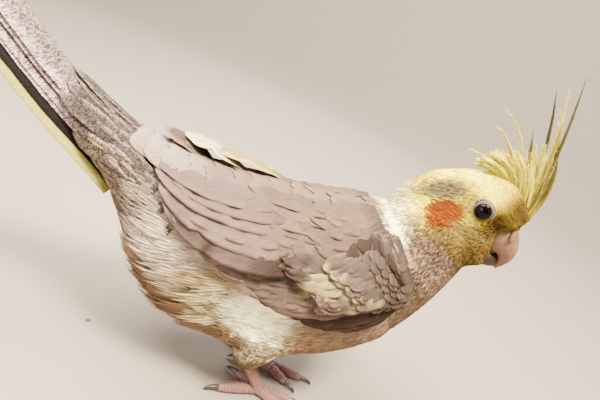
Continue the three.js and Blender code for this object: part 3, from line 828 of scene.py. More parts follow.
@dataclass(frozen=True)
class Tuft:
    """A small feather as a fan of thin barb locks off one root, each lock three-sided and closed."""

    locks: int = 7
    stations: tuple[float, ...] = (0.0, 0.45, 0.8)
    thick: float = 0.22
    ragged: float = 0.12
    sink: float = 0.5
    clearance: float = 0.35
    shade: float = 0.09
    root_shade: float = 0.62  # painted shade: how much darker the root is painted, where other feathers cover it

    # A lock's half width and its ridge's height at each station from the root, as shares of the full ones.
    WIDTHS = (0.55, 1.0, 0.72, 0.0)
    RIDGES = (1.0, 1.0, 0.8, 0.0)
    # How far one feather's patch of the bake map spreads, across it and along it.
    PATCH = (0.0012, 0.0026)

    def grow(self, sheaf: Sheaf, skin: Skin, bed: Bed, seed: int) -> None:
        """Grows a feather at each place of a bed, bent to follow the skin.

        Args:
            sheaf: What the feathers are added to.
            skin: The skin that they stand on.
            bed: Their places and sizes.
            seed: Of the draws that vary them.
        """
        rng = np.random.default_rng(seed)
        n, k, s = len(bed.root), self.locks, len(self.stations) + 1
        root, normal, _ = skin.onto(bed.root)
        flow = unit(bed.flow - normal * (bed.flow * normal).sum(1, keepdims=True))
        length = bed.length[:, None]
        middle, middle_normal, _ = skin.onto(root + flow * length * 0.5)
        end, end_normal, _ = skin.onto(root + flow * length)
        start = root - normal * self.sink
        middle = middle + middle_normal * (self.clearance + 0.35 * bed.lift)[:, None]
        end = end + end_normal * (self.clearance + bed.lift)[:, None]
        control = 2 * middle - 0.5 * (start + end)
        across = unit(np.cross(normal, flow))
        end_across = unit(np.cross(end_normal, end - middle))
        spread = np.linspace(-1, 1, k)[None, :] + rng.uniform(-0.5, 0.5, (n, k)) / k
        reach = 1 - 0.32 * np.abs(spread) ** 1.6 + rng.uniform(-self.ragged, self.ragged, (n, k))
        rise = rng.uniform(-0.5, 1.0, (n, k)) * self.thick
        fractions = np.array((*self.stations, 1.0))
        u = (reach[..., None] * fractions)[..., None]
        line = ((1 - u) ** 2 * start[:, None, None] + 2 * u * (1 - u) * control[:, None, None]
                + u ** 2 * end[:, None, None])
        way = unit(across[:, None, None] * (1 - u) + end_across[:, None, None] * u)
        up = unit(normal[:, None, None] * (1 - u) + end_normal[:, None, None] * u)
        opened = np.sin(np.clip(u, 0, 1) * math.pi * 0.62) ** 0.8
        centre = line + way * (bed.width[:, None, None, None] * spread[..., None, None] * opened)
        centre = centre + up * rise[..., None, None] * np.sqrt(u)
        profile = np.array(self.WIDTHS[:s])[None, None, :, None]
        half = way * profile * (1.55 * bed.width / k)[:, None, None, None]
        ridge = up * self.thick * np.array(self.RIDGES[:s])[None, None, :, None]
        body = np.stack((centre - half, centre + ridge, centre + half), 3)[:, :, :-1]
        tips = centre[:, :, -1].reshape(n * k, 1, 3)
        points = np.concatenate((body.reshape(n * k, 3 * (s - 1), 3), tips), 1)
        faces = self.faces(s)
        each = 3 * (s - 1) + 1
        faces = (np.arange(n * k)[:, None, None] * each + faces[None]).reshape(-1, 3)
        tone = 1 + rng.uniform(-self.shade, self.shade, (n, k, 1, 1)) + rng.uniform(-0.05, 0.05, (n, 1, 1, 1))
        mix = (fractions ** 1.3)[None, None, :, None]
        paint = (bed.paint[:, None, None] * (1 - mix) + bed.tip[:, None, None] * mix) * tone
        # Painted shade: the covered root of each lock is painted darker.
        root_shading = np.where(fractions < 0.2, self.root_shade, 1.0)[None, None, :, None]
        paint = self.spread_out(paint * root_shading, n * k, s)
        place = np.zeros((n, k, s, 2)) + bed.place[:, None, None]
        place[..., 0] += spread[..., None] * self.PATCH[0]
        place[..., 1] += (fractions - 0.5)[None, None] * self.PATCH[1]
        sheaf.put(points.reshape(-1, 3), outward_by_first(points[0], faces, each), paint,
                  self.spread_out(place, n * k, s))

    @staticmethod
    def spread_out(values: np.ndarray, count: int, stations: int) -> np.ndarray:
        """Values for each station copied to the three corners there and the tip's one point."""
        values = values.reshape(count, stations, -1)
        body = np.repeat(values[:, :-1], 3, axis=1)
        return np.concatenate((body, values[:, -1:]), 1).reshape(count * (3 * (stations - 1) + 1), -1)

    @staticmethod
    def faces(stations: int) -> np.ndarray:
        """The triangles of one lock."""
        made = [(0, 1, 2)]
        for i in range(stations - 2):
            for j in range(3):
                a, b = 3 * i + j, 3 * i + (j + 1) % 3
                made += [(a, b + 3, b), (a, a + 3, b + 3)]
        last = 3 * (stations - 2)
        tip = last + 3
        made += [(last, tip, last + 1), (last + 1, tip, last + 2), (last + 2, tip, last)]
        return np.array(made)


def outward_by_first(first: np.ndarray, faces: np.ndarray, each: int) -> np.ndarray:
    """Faces of many like forms turned out, judged by the first form."""
    own = faces[(faces < each).all(1)]
    centred = first - first.mean(0)
    a, b, c = (centred[own[:, k]] for k in range(3))
    return faces if np.einsum("ij,ij->i", a, np.cross(b, c)).sum() > 0 else faces[:, ::-1]


@dataclass
class Coat:
    """The small feathers of the body and the head, in rows like tiles along their lie."""

    anatomy: Anatomy
    skin: Skin
    material: bpy.types.Material
    head_gap: float = 0.98
    neck_gap: float = 1.4
    trunk_gap: float = 2.1
    neck_from: float = 0.7

    def tiled(self, surface: Callable, low: float, high: float, gap: float,
              seed: int) -> tuple[np.ndarray, np.ndarray]:
        """Places on a surface of rings, in staggered rows of an even spacing.

        Args:
            surface: Gives points for shares along it and degrees round it.
            low: The share of the first row.
            high: The share of the last one.
            gap: The spacing.
            seed: Of the draws that shift each place.

        Returns:
            The shares and the degrees.
        """
        rng = np.random.default_rng(seed)
        fine = np.linspace(low, high, 400)
        spine = np.stack([surface(fine, np.full(400, t)) for t in (0.0, 90.0, 180.0)], 1)
        travelled = np.concatenate(([0], np.cumsum(np.linalg.norm(np.diff(spine, axis=0), axis=2).mean(1))))
        rows = np.interp(np.arange(0, travelled[-1], gap), travelled, fine)
        shares, turns = [], []
        for number, share in enumerate(rows):
            around = np.linspace(0, 360, 181)
            ring = surface(np.full(181, share), around)
            walked = np.concatenate(([0], np.cumsum(np.linalg.norm(np.diff(ring, axis=0), axis=1))))
            count = max(4, int(walked[-1] / gap))
            at = (np.arange(count) + 0.5 * (number % 2) + rng.uniform(-0.3, 0.3, count)) / count
            turns.append(np.interp((at % 1) * walked[-1], walked, around))
            shares.append(np.full(count, share) + rng.uniform(-0.35, 0.35, count) * (high - low) / len(rows))
        return np.clip(np.concatenate(shares), low, high), np.concatenate(turns)

    def head_bed(self) -> Bed:
        """The feathers of the head: smallest round the bill and the eyes, flowing round them."""
        share, turn = self.tiled(Anatomy.head, 0.02, 0.985, self.head_gap, 21)
        root = Anatomy.head(share, turn)
        local = Anatomy.local(root)
        rng = np.random.default_rng(22)
        source = np.array((15.0, 0.0, -6.0))
        flow = unit(unit(local - source) + np.array((-0.35, 0.0, -0.3)))
        for side in (1, -1):
            eye = np.array((0.0, side * EYE_SIDE, 0.0))
            away = local - eye
            away[:, 1] = 0
            near = np.linalg.norm(away, axis=1, keepdims=True)
            same = (np.sign(local[:, 1:2]) == side) * 1.0
            out = away / np.maximum(near, 0.1)
            pull = np.clip(4.2 / np.maximum(near, 4.2), 0, 1) ** 2 * same
            flow = flow - pull * (2 * (flow * out).sum(1, keepdims=True) * out - flow) * 0.9
        flow = unit(flow)
        toward = Anatomy.turned(flow) - HEAD_AT
        face = smooth(-6, 10, local[:, 0])
        length = 7.8 - 3.9 * face + rng.uniform(-0.6, 0.6, len(root))
        near_eye = np.min([np.hypot(local[:, 0], local[:, 2]) + 99 * (np.sign(local[:, 1]) != s)
                           for s in (1, -1)], 0)
        length *= 0.55 + 0.45 * smooth(4, 9, near_eye)
        width = 0.62 - 0.16 * face
        crown = smooth(3, 9, local[:, 2]) * smooth(8, -4, local[:, 0])
        lift = 0.1 + 0.25 * smooth(-10, -20, local[:, 0]) + rng.uniform(0, 0.1, len(root)) * (1 - 0.8 * crown)
        paint = MARKINGS.head(root + toward * length[:, None] * 0.32)
        bright = smooth(0.5, 0.85, paint[:, 1])[:, None]
        streak = 1 + rng.normal(0, 0.08, (len(root), 1)) * (1 - 0.85 * bright)
        bed = Bed(root, toward, length, width, lift, paint * (0.9 + 0.08 * bright) * streak,
                  np.minimum(paint * 1.03 * streak, 1), head_map(share, turn))
        keep = (near_eye > 3.3) & ~self.on_bill(local)
        return bed.kept(keep)

    @staticmethod
    def on_bill(local: np.ndarray) -> np.ndarray:
        """Which places of the head the bill and its cere cover."""
        x, y, z = np.moveaxis(local, -1, 0)
        edge = 8.6 + 0.34 * np.clip(-5 - z, 0, 12)
        return (x > edge) & (z < -1.9) & (z > -12.2) & (np.abs(y) < 6.2)

    def trunk_bed(self, low: float, high: float, gap: float, seed: int) -> Bed:
        """The feathers of the trunk, longest and loosest on the flanks and under the vent.

        Args:
            low: The share of the trunk at which the bed starts.
            high: The share at which it ends.
            gap: The spacing of its feathers.
            seed: Of the draws that vary them.

        Returns:
            The bed.
        """
        share, turn = self.tiled(Anatomy.trunk, low, high, gap, seed)
        signed = (turn + 180) % 360 - 180
        side = np.abs(signed)
        root = Anatomy.trunk(share, turn)
        step = 0.01
        flow = unit(Anatomy.trunk(np.clip(share - step, 0, 1), turn) - Anatomy.trunk(share, turn))
        rng = np.random.default_rng(seed + 1)
        count = len(root)
        loose = smooth(0.42, 0.26, share) * smooth(60, 85, side)
        belly = smooth(85, 105, side) * smooth(0.66, 0.5, share)
        neck = smooth(0.74, 0.88, share)
        length = 8.4 + 1.6 * belly + 2.6 * loose - 2.2 * neck + rng.uniform(-0.8, 0.8, count)
        width = (2.1 + 0.3 * belly) * gap / self.trunk_gap - 0.35 * neck
        lift = 0.35 + 0.4 * belly + 1.1 * loose * rng.uniform(0.2, 1, count) + rng.uniform(0, 0.3, count)
        over = smooth(0.715, 0.74, share) * smooth(0.81, 0.775, share) * smooth(80, 60, side)
        lift = lift * (1 - 0.75 * neck) + over * rng.uniform(2.2, 3.2, count)
        flow[:, 2] -= 0.25 * loose
        paint = MARKINGS.trunk(np.clip(share - 0.02, 0, 1), signed)
        barred = blob(share, side, (0.32, 112), (0.09, 26), 0, 0.7) + 0.5 * smooth(0.26, 0.2, share)
        bars = smooth(-0.2, 0.7, np.sin(share * 420 + side * 0.05 + rng.uniform(-0.7, 0.7, count)))
        paint = paint * (1 - 0.72 * np.clip(barred, 0, 1) * bars)[:, None]
        streak = 1 + rng.normal(0, 0.11, (count, 1)) * (1 - 0.7 * neck[:, None])
        bright = smooth(0.4, 0.8, paint[:, 1])[:, None]
        inner = (0.72 + 0.24 * bright) * (1 - neck[:, None]) + 0.93 * neck[:, None]
        bed = Bed(root, flow, length, width, lift, paint * inner * streak,
                  np.minimum(paint * (1.12 - 0.1 * neck[:, None]) * streak, 1), trunk_map(share, turn))
        under_wing = (share > 0.34) & (share < 0.68) & (side < 78)
        under_mantle = (share > 0.22) & (share < 0.68) & (side < 24)
        return bed.kept(~under_wing & ~under_mantle & (Anatomy.off_head(root) > -0.4))

    def flank_bed(self) -> Bed:
        """The long loose feathers of both flanks and the vent, that stand off the body at their tips."""
        rng = np.random.default_rng(91)
        count = 780
        share = rng.uniform(0.16, 0.4, count)
        side = rng.uniform(84, 150, count)
        turn = side * rng.choice((-1, 1), count)
        root = Anatomy.trunk(share, turn)
        flow = unit(Anatomy.trunk(share - 0.01, turn) - root)
        flow[:, 2] -= 0.35
        flow += rng.uniform(-0.18, 0.18, (count, 3))
        length = rng.uniform(11, 17, count) * (1 - 0.35 * smooth(0.26, 0.16, share))
        paint = MARKINGS.trunk(share, turn)
        barred = blob(share, side, (0.33, 122), (0.06, 15), 0, 0.6)
        paint = paint * (1 - 0.45 * barred * rng.choice((0, 1), count))[:, None]
        return Bed(root, flow, length, np.full(count, 2.2), rng.uniform(0.8, 3.4, count), paint * 0.8,
                   paint * 1.15, trunk_map(share, turn % 360))

    def thigh_bed(self, side: Side) -> Bed:
        """The feathers of one thigh, hanging down over the ankle."""
        leg = Leg(self.anatomy, side)
        rings = leg.thigh(0.0, rings=14, sides=22)
        rng = np.random.default_rng(40 + side.value)
        root = rings.reshape(-1, 3) + rng.uniform(-0.6, 0.6, (rings.shape[0] * rings.shape[1], 3))
        down = leg.ankle - leg.knee
        count = len(root)
        flow = np.broadcast_to(unit(down), root.shape) + rng.uniform(-0.12, 0.12, (count, 3))
        low = smooth(34, 20, root[:, 2])
        paint = mixed(linear(MARKINGS.thigh), linear("#5e442f"), low)
        length = 8.5 - 3.2 * low + rng.uniform(-0.6, 0.6, count)
        share = np.full(count, 0.42)
        turn = np.full(count, 110.0 * side.value) + rng.uniform(-20, 20, count)
        return Bed(root, flow, length, np.full(count, 1.7), 0.4 + rng.uniform(0, 0.5, count),
                   paint * 0.82, paint * 1.04, trunk_map(share, turn % 360))

    def build(self) -> None:
        """Grows every bed and writes the coat in pieces."""
        short = Tuft(locks=4, stations=(0.0, 0.5), thick=0.11, sink=0.35, clearance=0.12, shade=0.05,
                     root_shade=0.85)
        self.piece("coat_head", short, self.near(self.head_bed(), 1.6), 51, "head_feathers")
        neck = self.near(self.trunk_bed(self.neck_from - 0.02, 0.99, self.neck_gap, 33), 2.4)
        fine = Tuft(locks=5, stations=(0.0, 0.5), thick=0.09, clearance=0.15, shade=0.05, root_shade=0.9)
        self.piece("coat_neck", fine, neck, 53, "body_feathers")
        trunk = self.near(self.trunk_bed(0.01, self.neck_from, self.trunk_gap, 31), 3.0)
        tuft = Tuft()
        ahead = trunk.root[:, 0] > -6
        below = (trunk.place[:, 1] > 0.22) & (trunk.place[:, 1] < 0.42)
        for name, mask, seed in (("coat_breast", ahead & below, 52), ("coat_belly", ~ahead & below, 54),
                                 ("coat_back", ~below, 55)):
            self.piece(name, tuft, trunk.kept(mask), seed, "body_feathers")
        loose = Tuft(locks=8, ragged=0.24, thick=0.17)
        self.piece("coat_flank", loose, self.near(self.flank_bed(), 3.0), 58, "body_feathers")
        for side in Side:
            self.piece(f"coat_thigh_{side.name.lower()}", tuft, self.near(self.thigh_bed(side), 2.6),
                       56, "body_feathers")

    def near(self, bed: Bed, reach: float) -> Bed:
        """The feathers of a bed whose roots are within reach of the skin."""
        _, _, away = self.skin.onto(bed.root)
        return bed.kept(away < reach)

    def piece(self, name: str, tuft: Tuft, bed: Bed, seed: int, slot: str) -> None:
        """Writes one bed of feathers as a piece of its own."""
        sheaf = Sheaf(self.anatomy)
        tuft.grow(sheaf, self.skin, bed, seed)
        made = sheaf.write(name, self.material)
        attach(made, ROOT)


# Large feathers

@dataclass(frozen=True)
class Quill:
    """The build of a large feather: its shaft, its two webs and its thickness."""

    stations: int = 22
    columns: tuple[float, ...] = (-1, -0.82, -0.55, -0.28, -0.07, 0.07, 0.28, 0.55, 0.82, 1)
    thick: float = 0.22
    shaft: float = 0.22
    camber: float = 0.06
    clefts: int = 1
    ragged: float = 0.012
    rumple: float = 0.0

    def grow(self, sheaf: Sheaf, at: Callable, half: Callable, length: float, paint: Callable,
             place: tuple[np.ndarray, float], seed: int, mottle: float = 0.0) -> None:
        """Adds one feather.

        Args:
            sheaf: What it is added to.
            at: Gives points for shares along it, millimetres across it and millimetres above it.
            half: Gives its half width for shares along it.
            length: Its length.
            paint: Gives colours for shares along it and shares across it.
            place: The middle of its patch of the bake map, and the patch's side.
            seed: Of the draws that part its barbs and shift its pattern.
            mottle: How strongly it is mottled.
        """
        rng = np.random.default_rng(seed)
        u = (1 - (1 - np.linspace(0, 1, self.stations)) ** 1.25)[:, None]
        v = np.array(self.columns)[None, :]
        u = u * (1 + rng.uniform(-self.ragged, self.ragged, v.shape) * smooth(0.6, 1, u))
        v = np.broadcast_to(v, u.shape)
        wide = half(u) * self.parted(u, np.sign(v), rng)
        across = v * wide
        rib = np.where(np.abs(v) < 0.1, self.shaft * (1 - 0.7 * u), 0.0)
        a, b, c = rng.uniform(0, 6, 3)
        waves = (np.sin(u * length * 0.55 + 2.2 * v + a) + 0.7 * np.sin(u * length * 0.9 - 3 * v + b)
                 + 0.5 * np.sin(5 * v + c))
        bow = -self.camber * wide * v ** 2 + self.rumple * waves * smooth(0.1, 0.5, u)
        top = at(u, across, bow + rib + self.thick / 2)
        under = at(u, across, bow - self.thick / 2)
        points, faces = sheet(top, under)
        colour = np.tile(paint(u, v).reshape(-1, 3), (2, 1))
        shift = rng.uniform(0, 60)
        lie = np.stack((u * length + shift, across), -1).reshape(-1, 2)
        middle, patch = place
        spot = np.stack((middle[0] + v * 0.5 * patch, middle[1] + (u - 0.5) * patch), -1)
        sheaf.put(points, faces, colour, np.tile(spot.reshape(-1, 2), (2, 1)), np.tile(lie, (2, 1)), mottle)

    def parted(self, u: np.ndarray, sign: np.ndarray, rng: np.random.Generator) -> np.ndarray:
        """Where barbs have come apart, the web is notched: the share of its width that is left."""
        left = np.ones(u.shape)
        for _ in range(self.clefts):
            at, deep, side = rng.uniform(0.35, 0.95), rng.uniform(0.08, 0.3), rng.choice((-1, 1))
            near = np.clip(1 - np.abs(u - at) / 0.05, 0, 1)
            left = left - deep * near * (sign == side)
        return left + rng.uniform(-0.012, 0.012, left.shape)


def rounded(width: float, point: float = 0.5, root: float = 0.45) -> Callable:
    """Half widths of a feather: narrow at the root, broad, then round or pointed."""
    def half(u: np.ndarray) -> np.ndarray:
        """Half widths for shares along the feather."""
        return np.maximum(width * np.minimum(1, root + 1.6 * u) * np.maximum(1 - u ** 5, 0) ** point, 0.12)
    return half


@dataclass(frozen=True)
class Tier:
    """A row of like feathers, evenly spread between its first and its last one."""

    count: int
    first: tuple[float, float, float, float]  # root share and degrees, tip share and degrees
    last: tuple[float, float, float, float]
    lift: tuple[float, float]
    width: float
    arch: float = 0.0
    tilt: float = 0.13
    stagger: float = 0.0
    point: float = 0.5
    colour: str = "#b7a598"
    edge: str = "#cdbfb2"
    seed: int = 1


@dataclass
class Wing:
    """A folded wing: the arm, and its feathers in overlapping tiers from the flight feathers up."""

    anatomy: Anatomy
    side: Side
    front: float = 0.735
    rear: float = 0.42
    top: float = 16
    low: float = 83
    bulge: float = 4.4
    gap: float = 0.3
    rows: int = 10

    # Painted shadow: the darkest lines between the feathers, where the gaps lie in shade, in the trunk's
    # shares and degrees, each with its width.
    shadow_lines = (
        (((0.56, 44), (0.62, 43), (0.675, 52), (0.711, 72)), 0.016),
        (((0.25, 80), (0.275, 72), (0.3, 67)), 0.014),
        (((0.377, 64), (0.437, 59)), 0.012),
    )
    # Its browner and its whiter parts, as soft ellipses in the same shares and degrees.
    brown = (((0.42, 66), (0.1, 8), 0, 0.7), ((0.24, 68), (0.07, 8), 0, 0.8))
    white = (((0.517, 66), (0.042, 6.5), 0, 0.25), ((0.503, 59), (0.016, 3), 0, 0.3))
    pale = (((0.575, 74.5), (0.02, 2.2), 0, 0.5), ((0.631, 75.5), (0.02, 2.0), 0, 0.5))
    tiers = (
        Tier(9, (0.66, 76, 0.405, 86), (0.69, 88, 0.55, 96), (1.3, 0.9), 3.3, seed=3,
             colour="#251811", edge="#33251d"),
        Tier(10, (0.54, 52, 0.22, 74), (0.62, 76, 0.42, 85), (1.7, 2.2), 4.6, seed=5, tilt=0.15,
             colour="#4c3e35", edge="#705b4f"),
        Tier(6, (0.46, 18, 0.11, 34), (0.54, 50, 0.16, 70), (1.3, 1.4), 5.8, 3.0, 0.18, 0.03, seed=11,
             colour="#55443d", edge="#635147"),
        Tier(11, (0.6, 50, 0.42, 60), (0.65, 73, 0.52, 79), (3.0, 4.9), 3.5, 0, 0.18, 0.015, seed=13,
             colour="#3f332c", edge="#5c4a3e"),
        Tier(11, (0.64, 48, 0.5, 57), (0.68, 72, 0.59, 77), (3.6, 5.3), 3.2, 0, 0.18, 0.015, seed=14,
             colour="#41362e", edge="#5e4d40"),
        Tier(7, (0.6, 16, 0.3, 18), (0.63, 48, 0.28, 54), (2.2, 3.4), 6.2, 0.6, 0.16, 0.05, seed=17,
             colour="#524236", edge="#624e40"),
        Tier(7, (0.68, 16, 0.45, 17), (0.7, 46, 0.44, 50), (2.4, 3.9), 5.8, 0.4, 0.14, 0.04, seed=19,
             colour="#4f3f33", edge="#5b4a3d"),
    )
    # Feathers of the far wing that stand up behind the back's outline.
    ruffled = (
        Tier(3, (0.42, 22, 0.13, 20), (0.44, 34, 0.2, 34), (2.2, 7.5), 5.4, 3.2, 0.25, seed=31,
             colour="#7b6d34", edge="#aa9f63"),
        Tier(2, (0.3, 20, 0.12, 16), (0.3, 26, 0.14, 22), (3.0, 8.0), 4.6, 2.5, 0.3, seed=33,
             colour="#9b8e67", edge="#ada382"),
        Tier(3, (0.2, 14, 0.07, 10), (0.22, 24, 0.09, 22), (2.2, 6.5), 3.8, 2.0, 0.4, 0.02, seed=37,
             colour="#3f3028", edge="#6a5d51"),
    )

    def arm(self, a: np.ndarray, b: np.ndarray) -> tuple[np.ndarray, np.ndarray, np.ndarray]:
        """Places on the arm.

        Args:
            a: Shares along it, from its rear to its front edge.
            b: Shares down it, from the back to the belly.

        Returns:
            The trunk's share and degrees there, and how far the arm stands off the trunk.
        """
        thick = np.minimum(1, 1.25 * a) * np.sqrt(np.clip(1 - a ** 8, 0, 1))
        lift = self.gap + 0.5 + (self.bulge - 0.3) * thick * np.clip(np.sin(math.pi * b), 0, 1) ** 0.4
        share = self.rear + (self.front - self.rear) * a + 0 * b
        turn = (self.top + 26 * a * a) * (1 - b) + (self.low - 6 * (1 - a)) * b
        return share, turn, lift

    def scales(self, sheaf: Sheaf, rng: np.random.Generator) -> None:
        """The small coverts of the arm, in staggered rows from its front edge back."""
        quill = Quill(stations=9, columns=(-1, -0.6, -0.12, 0.12, 0.6, 1), thick=0.2, clefts=1, ragged=0.05)
        for row in range(self.rows):
            count = 11 - row // 3
            for j in range(count):
                a = 1.04 - 0.052 * row + rng.uniform(-0.012, 0.012)
                b = (j + 0.25 + 0.5 * (row % 2) + rng.uniform(-0.2, 0.2)) / count
                share, turn, lift = (float(v) for v in self.arm(np.array(a), np.array(b)))
                reach = 0.042 + 0.012 * row / self.rows + rng.uniform(-0.004, 0.004)
                behind = float(self.arm(np.array(a - reach / 0.315), np.array(b))[2])
                size = 2.5 + 0.9 * row / self.rows
                self.vane(sheaf, quill, (share, turn, share - reach, turn + 2 + rng.uniform(-3, 3)),
                          (lift + 0.1, behind + rng.uniform(0.45, 1.0)), 0.0, rng.uniform(0.05, 0.2),
                          size, 0.6, ("#3c312a", "#59493d"), rng)

    def shell(self, sheaf: Sheaf) -> None:
        """The arm under the feathers, thick in the middle and thin at its rim."""
        a, b = np.linspace(0, 1, 40)[:, None], np.linspace(0, 1, 28)[None, :]
        share, turn, lift = self.arm(a, b)
        top = Anatomy.trunk(share, self.side.value * turn, lift)
        under = Anatomy.trunk(share, self.side.value * turn, self.gap)
        points, faces = sheet(top, under)
        spots = np.tile(trunk_map(share, (self.side.value * turn) % 360).reshape(-1, 2), (2, 1))
        sheaf.put(points, faces, linear("#63564e"), spots)

    def feather(self, sheaf: Sheaf, tier: Tier, k: int, quill: Quill, rng: np.random.Generator) -> None:
        """Adds one feather of a tier."""
        u0 = k / max(tier.count - 1, 1)
        root_share, root_turn, tip_share, tip_turn = (
            a + (b - a) * u0 for a, b in zip(tier.first, tier.last))
        tip_share += rng.uniform(-0.008, 0.008) + (k % 2) * tier.stagger
        tip_turn += rng.uniform(-2, 2)
        self.vane(sheaf, quill, (root_share, root_turn, tip_share, tip_turn), tier.lift, tier.arch, tier.tilt,
                  tier.width, tier.point, (tier.colour, tier.edge), rng)

    def vane(self, sheaf: Sheaf, quill: Quill, run: tuple, lift: tuple, arch: float, tilt: float,
             width: float, point: float, colours: tuple[str, str], rng: np.random.Generator) -> None:
        """Adds one feather of the wing.

        Args:
            sheaf: What it is added to.
            quill: Its build.
            run: The trunk's share and degrees at its root, then at its tip.
            lift: How far its root and its tip stand off the trunk.
            arch: How far its middle rises above both.
            tilt: How far it rises for each millimetre down the wing.
            width: Its half width.
            point: How pointed it is.
            colours: Its own colour and its edge's.
            rng: The draws that vary it.
        """
        side = self.side.value
        root_share, root_turn, tip_share, tip_turn = run

        def at(u: np.ndarray, across: np.ndarray, height: np.ndarray) -> np.ndarray:
            """Points for shares along it, millimetres across it and above it."""
            share = root_share + (tip_share - root_share) * u
            turn = root_turn + (tip_turn - root_turn) * np.maximum(u, 0) ** 0.8
            reach = between(TRUNK, share)[..., 2]
            level = lift[0] + (lift[1] - lift[0]) * u + arch * np.sin(math.pi * u) + tilt * across + height
            return Anatomy.trunk(share, side * (turn + np.degrees(across / reach)), level)

        ends = at(np.array((0.0, 0.5, 1.0)), np.zeros(3), np.zeros(3))
        length = np.linalg.norm(np.diff(ends, axis=0), axis=1).sum()
        tone = 1 + rng.uniform(-0.25, 0.25)
        base, edge = linear(colours[0]) * tone, linear(colours[1]) * tone

        def paint(u: np.ndarray, v: np.ndarray) -> np.ndarray:
            """Colours for shares along it and across it."""
            rim = np.maximum(smooth(0.62, 1.0, np.abs(v)), smooth(0.86, 1.0, u))
            colour = mixed(base, edge, rim)
            share = root_share + (tip_share - root_share) * u
            turn = root_turn + (tip_turn - root_turn) * np.maximum(u, 0) ** 0.8
            # Painted shade: each feather is painted darker toward its root, where the feather above covers
            # it.
            colour = colour * (1 - 0.45 * smooth(0.42, 0.1, u))[..., None]
            # Painted shadow: the lines between the feathers, where the gaps lie in shade, are painted near
            # black below.
            dark = np.maximum.reduce([stroke(share, turn, line, wide, 260) for line, wide in self.shadow_lines])
            colour = colour * (1 - 0.4 * blobs(share, turn, self.brown))[..., None]
            colour = mixed(colour, linear("#211510"), dark * 0.9)
            white = np.maximum(blobs(share, turn, self.white), blobs(share, turn, self.pale) * 0.85)
            return mixed(colour, linear("#7b6e4b"), white)

        middle = trunk_map(np.array(tip_share + 0.1), np.array((side * tip_turn) % 360))
        quill.grow(sheaf, at, rounded(width, point), length, paint, (middle, 0.03),
                   int(rng.integers(1 << 30)))

    def build(self, vane: bpy.types.Material) -> None:
        """Builds the wing and has it stand for its solid."""
        sheaf = Sheaf(self.anatomy)
        self.shell(sheaf)
        quill = Quill(clefts=1, ragged=0.02, rumple=0.3)
        self.scales(sheaf, np.random.default_rng(61 + self.side.value))
        for tier in self.tiers + (self.ruffled if self.side is Side.LEFT else ()):
            rng = np.random.default_rng(tier.seed * 7 + self.side.value)
            for k in range(tier.count):
                self.feather(sheaf, tier, k, quill, rng)
        made = sheaf.write(f"wing_{self.side.name.lower()}_plumage", vane)
        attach(made, ROOT)
        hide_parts(f"wing_{self.side.name.lower()}")


@dataclass
class Mantle:
    """The broad soft feathers down the middle of the back, that lie over the roots of both wings."""

    anatomy: Anatomy
    rows: int = 13
    across: int = 9
    front: float = 0.725
    rear: float = 0.15

    def build(self, vane: bpy.types.Material) -> None:
        """Builds the rows, tail end first."""
        sheaf, rng = Sheaf(self.anatomy), np.random.default_rng(71)
        quill = Quill(stations=13, columns=(-1, -0.7, -0.35, -0.07, 0.07, 0.35, 0.7, 1), thick=0.2, clefts=1,
                      ragged=0.03)
        for row in range(self.rows):
            share = self.rear + (self.front - self.rear) * row / (self.rows - 1)
            spread = 26 + 16 * float(smooth(0.3, 0.7, np.array(share)))
            for j in range(self.across):
                turn = spread * (2 * (j + 0.5 * (row % 2) - 0.25) / (self.across - 1) - 1)
                self.feather(sheaf, quill, share + rng.uniform(-0.008, 0.008), turn + rng.uniform(-2, 2), rng)
        made = sheaf.write("mantle", vane)
        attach(made, ROOT)

    def feather(self, sheaf: Sheaf, quill: Quill, share: float, turn: float,
                rng: np.random.Generator) -> None:
        """Adds one feather of the mantle, by the place of its root."""
        near_neck = float(smooth(0.62, 0.8, np.array(share)))
        reach = 0.13 - 0.05 * near_neck + rng.uniform(-0.01, 0.01)
        width = 4.9 - 1.8 * near_neck
        low = 0.4 - 1.8 * near_neck
        top = 3.0 - 1.7 * near_neck + rng.uniform(0, 0.5)
        drift = turn * 0.12

        def at(u: np.ndarray, across: np.ndarray, height: np.ndarray) -> np.ndarray:
            """Points for shares along it, millimetres across it and above it."""
            along = share - reach * u
            wide = between(TRUNK, along)[..., 2]
            level = low + (top - low) * np.sqrt(np.clip(u, 0, 1)) + height
            return Anatomy.trunk(along, turn + drift * u + np.degrees(across / wide), level)

        ends = at(np.array((0.0, 1.0)), np.zeros(2), np.zeros(2))
        tone = 1 + rng.uniform(-0.07, 0.07)
        base = MARKINGS.trunk(np.array([share - reach / 2]), np.array([turn]))[0] * tone

        def paint(u: np.ndarray, v: np.ndarray) -> np.ndarray:
            """Colours for shares along it and across it."""
            rim = np.maximum(smooth(0.6, 1.0, np.abs(v)), smooth(0.8, 1.0, u))
            return mixed(base * 0.92, np.minimum(base * 1.2, 0.95), rim)

        middle = trunk_map(np.array(share - reach / 2), np.array(turn % 360))
        quill.grow(sheaf, at, rounded(width, 0.6), float(np.linalg.norm(ends[1] - ends[0])), paint,
                   (middle, 0.02), int(rng.integers(1 << 30)))


